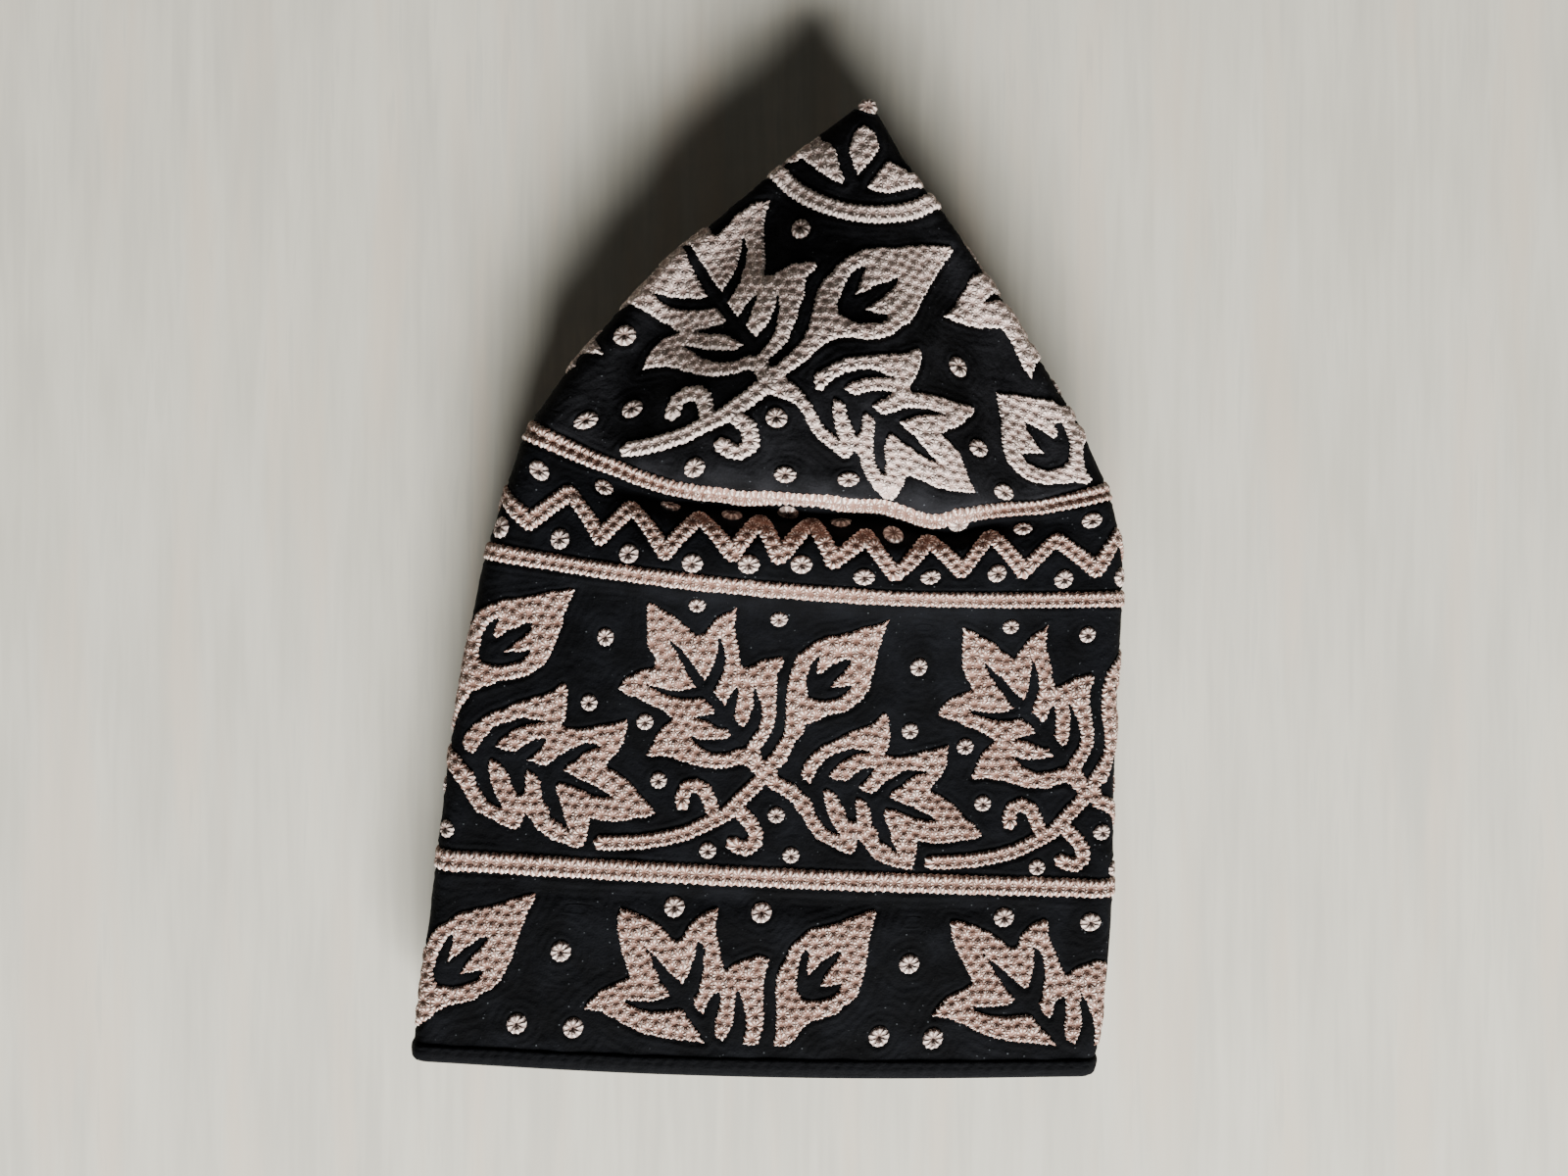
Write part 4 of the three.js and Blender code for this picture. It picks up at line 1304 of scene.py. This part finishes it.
def cut_grid(field, values, stride):
    """Triangles of a flat grid where the values are positive, cut along their zero line."""
    x, y = np.meshgrid(field.x[::stride], field.y[::stride], indexing="ij")
    values = values[::stride, ::stride]
    rows, columns = x.shape
    points = np.stack([x, y], -1).reshape(-1, 2)
    value = values.ravel()
    value = np.where(np.abs(value) < 0.02, np.where(value < 0, -0.02, 0.02), value)
    i, j = np.meshgrid(np.arange(rows - 1), np.arange(columns - 1), indexing="ij")
    a = (i * columns + j).ravel()
    b, c, d = a + columns, a + columns + 1, a + 1
    even = ((i + j) % 2 == 0).ravel()
    first = np.where(even[:, None], np.stack([a, b, c], -1), np.stack([a, b, d], -1))
    second = np.where(even[:, None], np.stack([a, c, d], -1), np.stack([b, c, d], -1))
    triangles = np.concatenate([first, second])
    inside = value[triangles] > 0
    count = inside.sum(1)
    whole = triangles[count == 3]

    def rolled(rows_of, odd):
        shift = np.argmax(odd, 1)
        return np.take_along_axis(rows_of, (np.arange(3) + shift[:, None]) % 3, 1)

    one = rolled(triangles[count == 1], inside[count == 1])
    two = rolled(triangles[count == 2], ~inside[count == 2])
    total = len(points)

    def key(p, q):
        return np.minimum(p, q).astype(np.int64) * total + np.maximum(p, q)

    keys = np.concatenate([key(one[:, 0], one[:, 1]), key(one[:, 0], one[:, 2]),
                           key(two[:, 0], two[:, 1]), key(two[:, 0], two[:, 2])])
    unique, places = np.unique(keys, return_inverse=True)
    places = places.ravel() + total
    p, q = unique // total, unique % total
    share = (value[p] / (value[p] - value[q]))[:, None]
    points = np.concatenate([points, points[p] * (1 - share) + points[q] * share])
    value = np.concatenate([value, np.zeros(len(unique))])
    n, m = len(one), len(two)
    one_b, one_c = places[:n], places[n:2 * n]
    two_b, two_c = places[2 * n:2 * n + m], places[2 * n + m:]
    faces = np.concatenate([
        whole,
        np.stack([one[:, 0], one_b, one_c], -1),
        np.stack([two_b, two[:, 1], two[:, 2]], -1),
        np.stack([two_b, two[:, 2], two_c], -1),
    ])
    used, faces = np.unique(faces, return_inverse=True)
    return points[used], faces.reshape(-1, 3), np.maximum(value[used], 0)


class FlatStitching:
    """The embroidery of one field as flat triangles with its ring cells."""

    def __init__(self, field, random):
        self.field = field
        self.cells, self.chances = ring_cells(field, random)
        self.serrated = self.with_serration()

    def cell_of(self, points):
        """Offset from the nearest cell's middle, with its chance as the third number."""
        owner = nearest_cell(self.cells, points)
        return np.concatenate([points - self.cells[owner], self.chances[owner][:, None]], -1)

    def with_serration(self):
        """The field with the threads' ends along its edges."""
        values = self.field.stitched.copy()
        near = np.abs(values) < 0.9
        x, y = np.meshgrid(self.field.x, self.field.y, indexing="ij")
        offset = self.cell_of(np.stack([x[near], y[near]], -1))
        angle = np.arctan2(offset[:, 1], offset[:, 0])
        bulge = np.clip(0.5 * CELL_PITCH - np.hypot(offset[:, 0], offset[:, 1]), -0.5, 0.5)
        ends = np.cos(THREADS * angle + 6.3 * offset[:, 2])
        values[near] += 0.1 + SCALLOP * bulge + SERRATION * ends
        return values

    def flat_mesh(self, stride):
        """Places, triangles, distance inside and cell offset."""
        points, faces, inside = cut_grid(self.field, self.serrated, stride)
        return points, faces, inside, self.cell_of(points)


def sheet_offset(station, middle):
    """Stations from the middle of a sheet, negative to its left."""
    return (station - middle + STATIONS / 2) % STATIONS - STATIONS / 2


def stitch_height(inside, cell, pit_depth):
    """Height of the stitching over the black cloth, in millimetres."""
    radius = np.hypot(cell[:, 0], cell[:, 1])
    body = PAD_HEIGHT * (1 - np.exp(-inside / 0.3)) - 0.14
    return body + 0.08 - pit_depth * bell(radius, 0.62) + 0.14 * (cell[:, 2] - 0.5)


def stitched_piece(name, flat, middle, to_cloth, material, stride, pit_depth):
    """The embroidery of one sheet of the folded cap."""
    points, faces, inside, cell = flat.flat_mesh(stride)
    level, station = to_cloth(points, middle)
    kept = (np.abs(sheet_offset(station, middle)) < SHOWN_STATIONS)[faces].all(1)
    used, faces = np.unique(faces[kept], return_inverse=True)
    level, station, inside, cell = level[used], station[used], inside[used], cell[used]
    offset = base_offset(level, station) + stitch_height(inside, cell, pit_depth)
    places = flatten_on_table(on_cloth(level, station, offset))
    return sewn_on(name, places, faces.reshape(-1, 3), material, inside, cell)


def sewn_on(name, places, faces, material, inside, cell):
    """A stitched object that rides on the cap."""
    piece = add_object(name, places, faces, material, {"inside": inside, "cell": cell})
    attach(piece, "root")
    return piece


def dots_piece(name, field, middle, to_cloth, material):
    """The eyelet dots of one sheet of the folded cap."""
    share, height = np.array(DOT_PROFILE, float).T
    turns = np.arange(DOT_SPOKES) / DOT_SPOKES * 2 * np.pi
    ring = grid_faces(len(share), DOT_SPOKES, wrap=True)
    places, faces, cells, insides = [], [], [], []
    for number, (centre, radius) in enumerate(field.dots):
        s, a = np.meshgrid(share, turns, indexing="ij")
        wavy = s * radius * (1 + 0.05 * np.cos(DOT_SPOKES / 2 * a + number) * s)
        local = np.stack([wavy * np.cos(a), wavy * np.sin(a)], -1)
        level, station = to_cloth(centre + local, middle)
        if np.abs(sheet_offset(station, middle)).max() > SHOWN_STATIONS:
            continue
        offset = base_offset(level, station) + height[:, None]
        places.append(flatten_on_table(on_cloth(level, station, offset)).reshape(-1, 3))
        faces.append(ring + len(faces) * s.size)
        chance = np.full(s.shape + (1,), 0.5 + 0.5 * math.sin(number * 2.4))
        cells.append(np.concatenate([local * 1.7 / radius, chance], -1).reshape(-1, 3))
        insides.append(((1 - s) * radius).ravel())
    return sewn_on(name, np.concatenate(places), np.concatenate(faces)[:, ::-1], material,
                   np.concatenate(insides), np.concatenate(cells))


def tip_knot(material):
    """The small stitched knot that closes the tip."""
    rise, turn = np.meshgrid(np.radians(np.linspace(-75, 86, 12)),
                             np.radians(np.arange(0, 360, 12)), indexing="ij")
    across = KNOT_RADIUS * np.cos(rise) * (1 + 0.06 * np.cos(turn * 9))
    local = np.stack([across * np.cos(turn), across * np.sin(turn)], -1)
    dimple = -0.4 * bell(np.cos(rise), 0.25)
    middle = cloth_point(TIP_LEVEL, FACE_MIDDLE) + KNOT_PLACE
    height = KNOT_RADIUS * 0.8 * np.sin(rise) + dimple
    places = np.concatenate([local + middle[:2], (height + middle[2])[..., None]], -1)
    cell = np.concatenate([local * 1.1 / KNOT_RADIUS, np.full(rise.shape + (1,), 0.4)], -1)
    faces = grid_faces(*rise.shape, wrap=True)
    return sewn_on("tip_knot", places.reshape(-1, 3), faces, material,
                   np.full(rise.size, 1.0), cell.reshape(-1, 3))


@functools.cache
def wall_stitching():
    """The wall's embroidery, worked out once."""
    return FlatStitching(wall_field(), np.random.default_rng(7))


@functools.cache
def crown_stitching():
    """The crown's embroidery, worked out once."""
    return FlatStitching(crown_field(), np.random.default_rng(11))


def edge_distance(level, station):
    """Distance outside the embroidery, in millimetres of cloth, negative under it."""
    on_face = np.abs(sheet_offset(station, FACE_MIDDLE)) < 3
    arc = np.where(on_face, LOOP.arc(level, station, FACE_MIDDLE),
                   LOOP.arc(level, station, UNDER_MIDDLE))
    inside = wall_stitching().field.read(np.stack([arc, level], -1))
    radius = np.maximum(TIP_LEVEL - level, 0.1)
    on_disc = crown_stitching().field.read(polar(radius, arc / radius))
    return -np.maximum(inside, np.where(level > WALL_HEIGHT, on_disc, -FIELD_REACH))


# Properties, operators and the panel

class KumaCapSettings(bpy.types.PropertyGroup):
    """Sizes and colours of the cap."""

    cloth_colour: FloatVectorProperty(name="Cloth", description="Black cotton of the cap",
                                      subtype="COLOR", size=3, default=(0.0022, 0.0025, 0.0033))
    # Painted light: the crown's black cotton is a lighter, lit copy of the wall's cloth colour
    crown_lit_cloth_colour: FloatVectorProperty(
        name="Crown cloth", description="Black cotton of the crown, a little more worn",
        subtype="COLOR", size=3, default=(0.0068, 0.007, 0.0082))
    wall_thread_colour: FloatVectorProperty(
        name="Wall thread", description="Pale thread of the wall",
        subtype="COLOR", size=3, default=(0.44, 0.262, 0.205))
    # Painted shade in the pits of the wall's stitched rings
    wall_pit_shade_colour: FloatVectorProperty(
        name="Wall pits", description="Dark middles of the wall's stitched rings",
        subtype="COLOR", size=3, default=(0.20, 0.108, 0.08))
    # Painted light: the crown's thread is a paler, lit copy of the wall's thread
    crown_lit_thread_colour: FloatVectorProperty(
        name="Crown thread", description="Paler thread of the crown",
        subtype="COLOR", size=3, default=(0.98, 0.80, 0.725))
    # Painted shade in the pits of the crown's rings, kept paler than the wall's as painted light
    crown_pit_shade_colour: FloatVectorProperty(
        name="Crown pits", description="Dark middles of the crown's stitched rings",
        subtype="COLOR", size=3, default=(0.54, 0.38, 0.33))
    eyelet_colour: FloatVectorProperty(
        name="Eyelets", description="Greyish thread of the eyelet dots",
        subtype="COLOR", size=3, default=(0.47, 0.36, 0.32))
    # Painted shade between the eyelets' threads
    eyelet_pit_shade_colour: FloatVectorProperty(
        name="Eyelet holes", description="Dark between the eyelets' threads",
        subtype="COLOR", size=3, default=(0.17, 0.11, 0.09))
    table_colour: FloatVectorProperty(name="Table", description="Pale table top",
                                      subtype="COLOR", size=3, default=(0.683, 0.665, 0.573))
    window_power: FloatProperty(name="Window", description="Power of the window light in watts",
                                default=136.0, min=0.0)
    room_light: FloatProperty(name="Room", description="Strength of the light from all round",
                              default=0.042, min=0.0)
    face_steps: IntProperty(name="Face steps", description="Mesh steps across the face sheet",
                            default=210, min=40)


class KUMA_OT_ground(bpy.types.Operator):
    """Makes the black cotton wall and crown of the folded cap"""

    bl_idname = "kuma.ground"
    bl_label = "Black cotton"

    def execute(self, context):
        settings = context.scene.kuma_cap
        stations = loop_stations(settings.face_steps, *CLOTH_STEPS)
        wall = np.append(np.arange(BINDING_HEIGHT - 0.6, WALL_HEIGHT, CLOTH_ROW), WALL_HEIGHT)
        ground_piece("side_band_cloth", "side_band", wall, wall[::INSIDE_ROWS], stations,
                     black_cotton("wall_cotton", settings.cloth_colour))
        crown = np.append(np.arange(WALL_HEIGHT, CLOTH_TOP, CLOTH_ROW), CLOTH_TOP)
        # The crown's cotton takes the lighter, lit cloth colour: painted light
        ground_piece("crown_cloth", "crown", crown, crown[:-4:INSIDE_ROWS], stations,
                     black_cotton("crown_lit_cotton", settings.crown_lit_cloth_colour))
        return {"FINISHED"}


def binding_profile():
    """Levels and offsets round the rolled binding, from inside over the edge to outside."""
    inside = [(level, -0.95) for level in np.linspace(BINDING_HEIGHT, 1.9, 6)]
    turn = np.radians(np.linspace(200, 340, 9))
    edge = [(1.8 + 1.0 * math.sin(a), 1.0 * math.cos(a)) for a in turn]
    rise = np.linspace(0, 1, 9)
    outside = [(1.8 + 3.0 * t, 1.0 + 0.16 * math.sin(math.pi * t) - 0.5 * t ** 8) for t in rise]
    return np.array(inside + edge + outside)


def binding_relief(level, arc, offset):
    """Wrinkles and stitch dents on the outside of the binding."""
    wrinkle = 0.07 * np.sin(arc * 1.9 + 1.3 * np.sin(arc * 0.37)) + 0.05 * np.sin(arc * 4.1)
    stitch = -0.22 * bell(level - 3.5, 0.4) * (0.5 + 0.5 * np.cos(2 * np.pi * arc / 2.4))
    height = np.sin(np.clip(level / BINDING_HEIGHT, 0, 1) * np.pi)
    return (offset > 0.4) * (wrinkle * height + stitch)


class KUMA_OT_binding(bpy.types.Operator):
    """Makes the rolled black binding of the hem"""

    bl_idname = "kuma.binding"
    bl_label = "Hem binding"

    def execute(self, context):
        settings = context.scene.kuma_cap
        profile = binding_profile()
        stations = loop_stations(*BINDING_STEPS)
        level, station = np.meshgrid(profile[:, 0], stations, indexing="ij")
        offset = np.broadcast_to(profile[:, 1:], level.shape)
        arc = LOOP.arc(level, station, FACE_MIDDLE)
        offset = offset + binding_relief(level, arc, offset)
        points = flatten_on_table(on_cloth(np.maximum(level, 0), station, offset).reshape(-1, 3))
        piece = add_object("hem_binding_cloth", points, grid_faces(*level.shape, wrap=True),
                           binding_cotton(settings.cloth_colour))
        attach(piece, "root")
        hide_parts("hem_binding")
        return {"FINISHED"}


def eyelet_thread(settings):
    """The finish of the eyelet dots, made once."""
    made = bpy.data.materials.get("eyelet_thread")
    return made or stitched_thread("eyelet_thread", settings.eyelet_colour,
                                   settings.eyelet_pit_shade_colour)


def embroider(part, flat, to_cloth, thread, eyelets, pit_depth):
    """The stitching and the eyelet dots of one part, on each sheet with embroidery."""
    for sheet, middle, stride in SHEETS:
        stitched_piece(f"{part}_stitching_{sheet}", flat, middle, to_cloth, thread, stride,
                       pit_depth)
        dots_piece(f"{part}_eyelets_{sheet}", flat.field, middle, to_cloth, eyelets)


class KUMA_OT_wall_stitching(bpy.types.Operator):
    """Makes the embroidered sprigs, borders, zigzag and eyelet dots of the wall"""

    bl_idname = "kuma.wall_stitching"
    bl_label = "Wall embroidery"

    def execute(self, context):
        settings = context.scene.kuma_cap
        thread = stitched_thread("wall_thread", settings.wall_thread_colour,
                                 settings.wall_pit_shade_colour)
        embroider("wall", wall_stitching(), wall_to_cloth, thread, eyelet_thread(settings),
                  WALL_PIT_DEPTH)
        return {"FINISHED"}


class KUMA_OT_crown_stitching(bpy.types.Operator):
    """Makes the embroidered sprigs, ring, rosette and eyelet dots of the crown"""

    bl_idname = "kuma.crown_stitching"
    bl_label = "Crown embroidery"

    def execute(self, context):
        settings = context.scene.kuma_cap
        # Painted light: the crown's embroidery takes the paler, lit copy of the thread
        thread = stitched_thread("crown_lit_thread", settings.crown_lit_thread_colour,
                                 settings.crown_pit_shade_colour)
        eyelets = eyelet_thread(settings)
        embroider("crown", crown_stitching(), crown_to_cloth, thread, eyelets, CROWN_PIT_DEPTH)
        tip_knot(eyelets)
        return {"FINISHED"}


def table_top(settings):
    """The pale table top that the cap lies on."""
    steps = np.linspace(-TABLE_HALF, TABLE_HALF, 5)
    x, y = np.meshgrid(steps, steps, indexing="ij")
    points = np.stack([x, y, np.zeros_like(x)], -1).reshape(-1, 3)
    table = add_object("table_top", points, grid_faces(*x.shape)[:, ::-1],
                       floor_finish(settings.table_colour))


def window_light(scene, settings):
    """The soft light of a window beyond the hem."""
    lamp = bpy.data.lights.new("window", "AREA")
    lamp.shape = "RECTANGLE"
    lamp.size, lamp.size_y = WINDOW_SIZE
    lamp.energy = settings.window_power
    lamp.color = WINDOW_TINT
    window = bpy.data.objects.new("window", lamp)
    window.location = WINDOW_PLACE
    window.rotation_mode = "QUATERNION"
    window.rotation_quaternion = (-window.location).to_track_quat("-Z", "Y")
    scene.collection.objects.link(window)


def room_light(scene, settings):
    """The faint light from all round."""
    world = bpy.data.worlds.new("soft_room")
    world.use_nodes = True
    background = world.node_tree.nodes["Background"]
    background.inputs["Color"].default_value = tone(ROOM_TINT)
    background.inputs["Strength"].default_value = settings.room_light
    scene.world = world


def overhead_camera(scene):
    """The camera over the cap, looking straight down."""
    lens = bpy.data.cameras.new("camera")
    lens.sensor_fit = "HORIZONTAL"
    lens.sensor_width = SENSOR_WIDTH
    lens.lens = CAMERA_LENS
    lens.clip_start = 0.01
    camera = bpy.data.objects.new("camera", lens)
    camera.location = [c * MM for c in CAMERA_PLACE]
    scene.collection.objects.link(camera)
    scene.camera = camera


class KUMA_OT_stage(bpy.types.Operator):
    """Makes the pale table top, the soft lights and the camera"""

    bl_idname = "kuma.stage"
    bl_label = "Table, lights and camera"

    def execute(self, context):
        settings = context.scene.kuma_cap
        table_top(settings)
        window_light(context.scene, settings)
        room_light(context.scene, settings)
        overhead_camera(context.scene)
        return {"FINISHED"}


class KUMA_PT_panel(bpy.types.Panel):
    """Lists the steps that make the cap"""

    bl_label = "Kuma Cap"
    bl_idname = "KUMA_PT_panel"
    bl_space_type = "VIEW_3D"
    bl_region_type = "UI"
    bl_category = "Kuma Cap"

    def draw(self, context):
        for name in KumaCapSettings.__annotations__:
            self.layout.prop(context.scene.kuma_cap, name)
        for operator in OPERATORS:
            self.layout.operator(operator.bl_idname)


OPERATORS = (KUMA_OT_ground, KUMA_OT_binding, KUMA_OT_wall_stitching, KUMA_OT_crown_stitching,
             KUMA_OT_stage)
CLASSES = (KumaCapSettings,) + OPERATORS + (KUMA_PT_panel,)


def register():
    """Registers the settings, the operators and the panel."""
    for item in CLASSES:
        bpy.utils.register_class(item)
    bpy.types.Scene.kuma_cap = PointerProperty(type=KumaCapSettings)


def unregister():
    """Takes everything out again."""
    del bpy.types.Scene.kuma_cap
    for item in reversed(CLASSES):
        bpy.utils.unregister_class(item)


def build_cap():
    """Makes the cap and its stage."""
    register()
    bpy.ops.kuma.ground()
    bpy.ops.kuma.binding()
    bpy.ops.kuma.wall_stitching()
    bpy.ops.kuma.crown_stitching()
    bpy.ops.kuma.stage()


if __name__ == "__main__":
    build_cap()
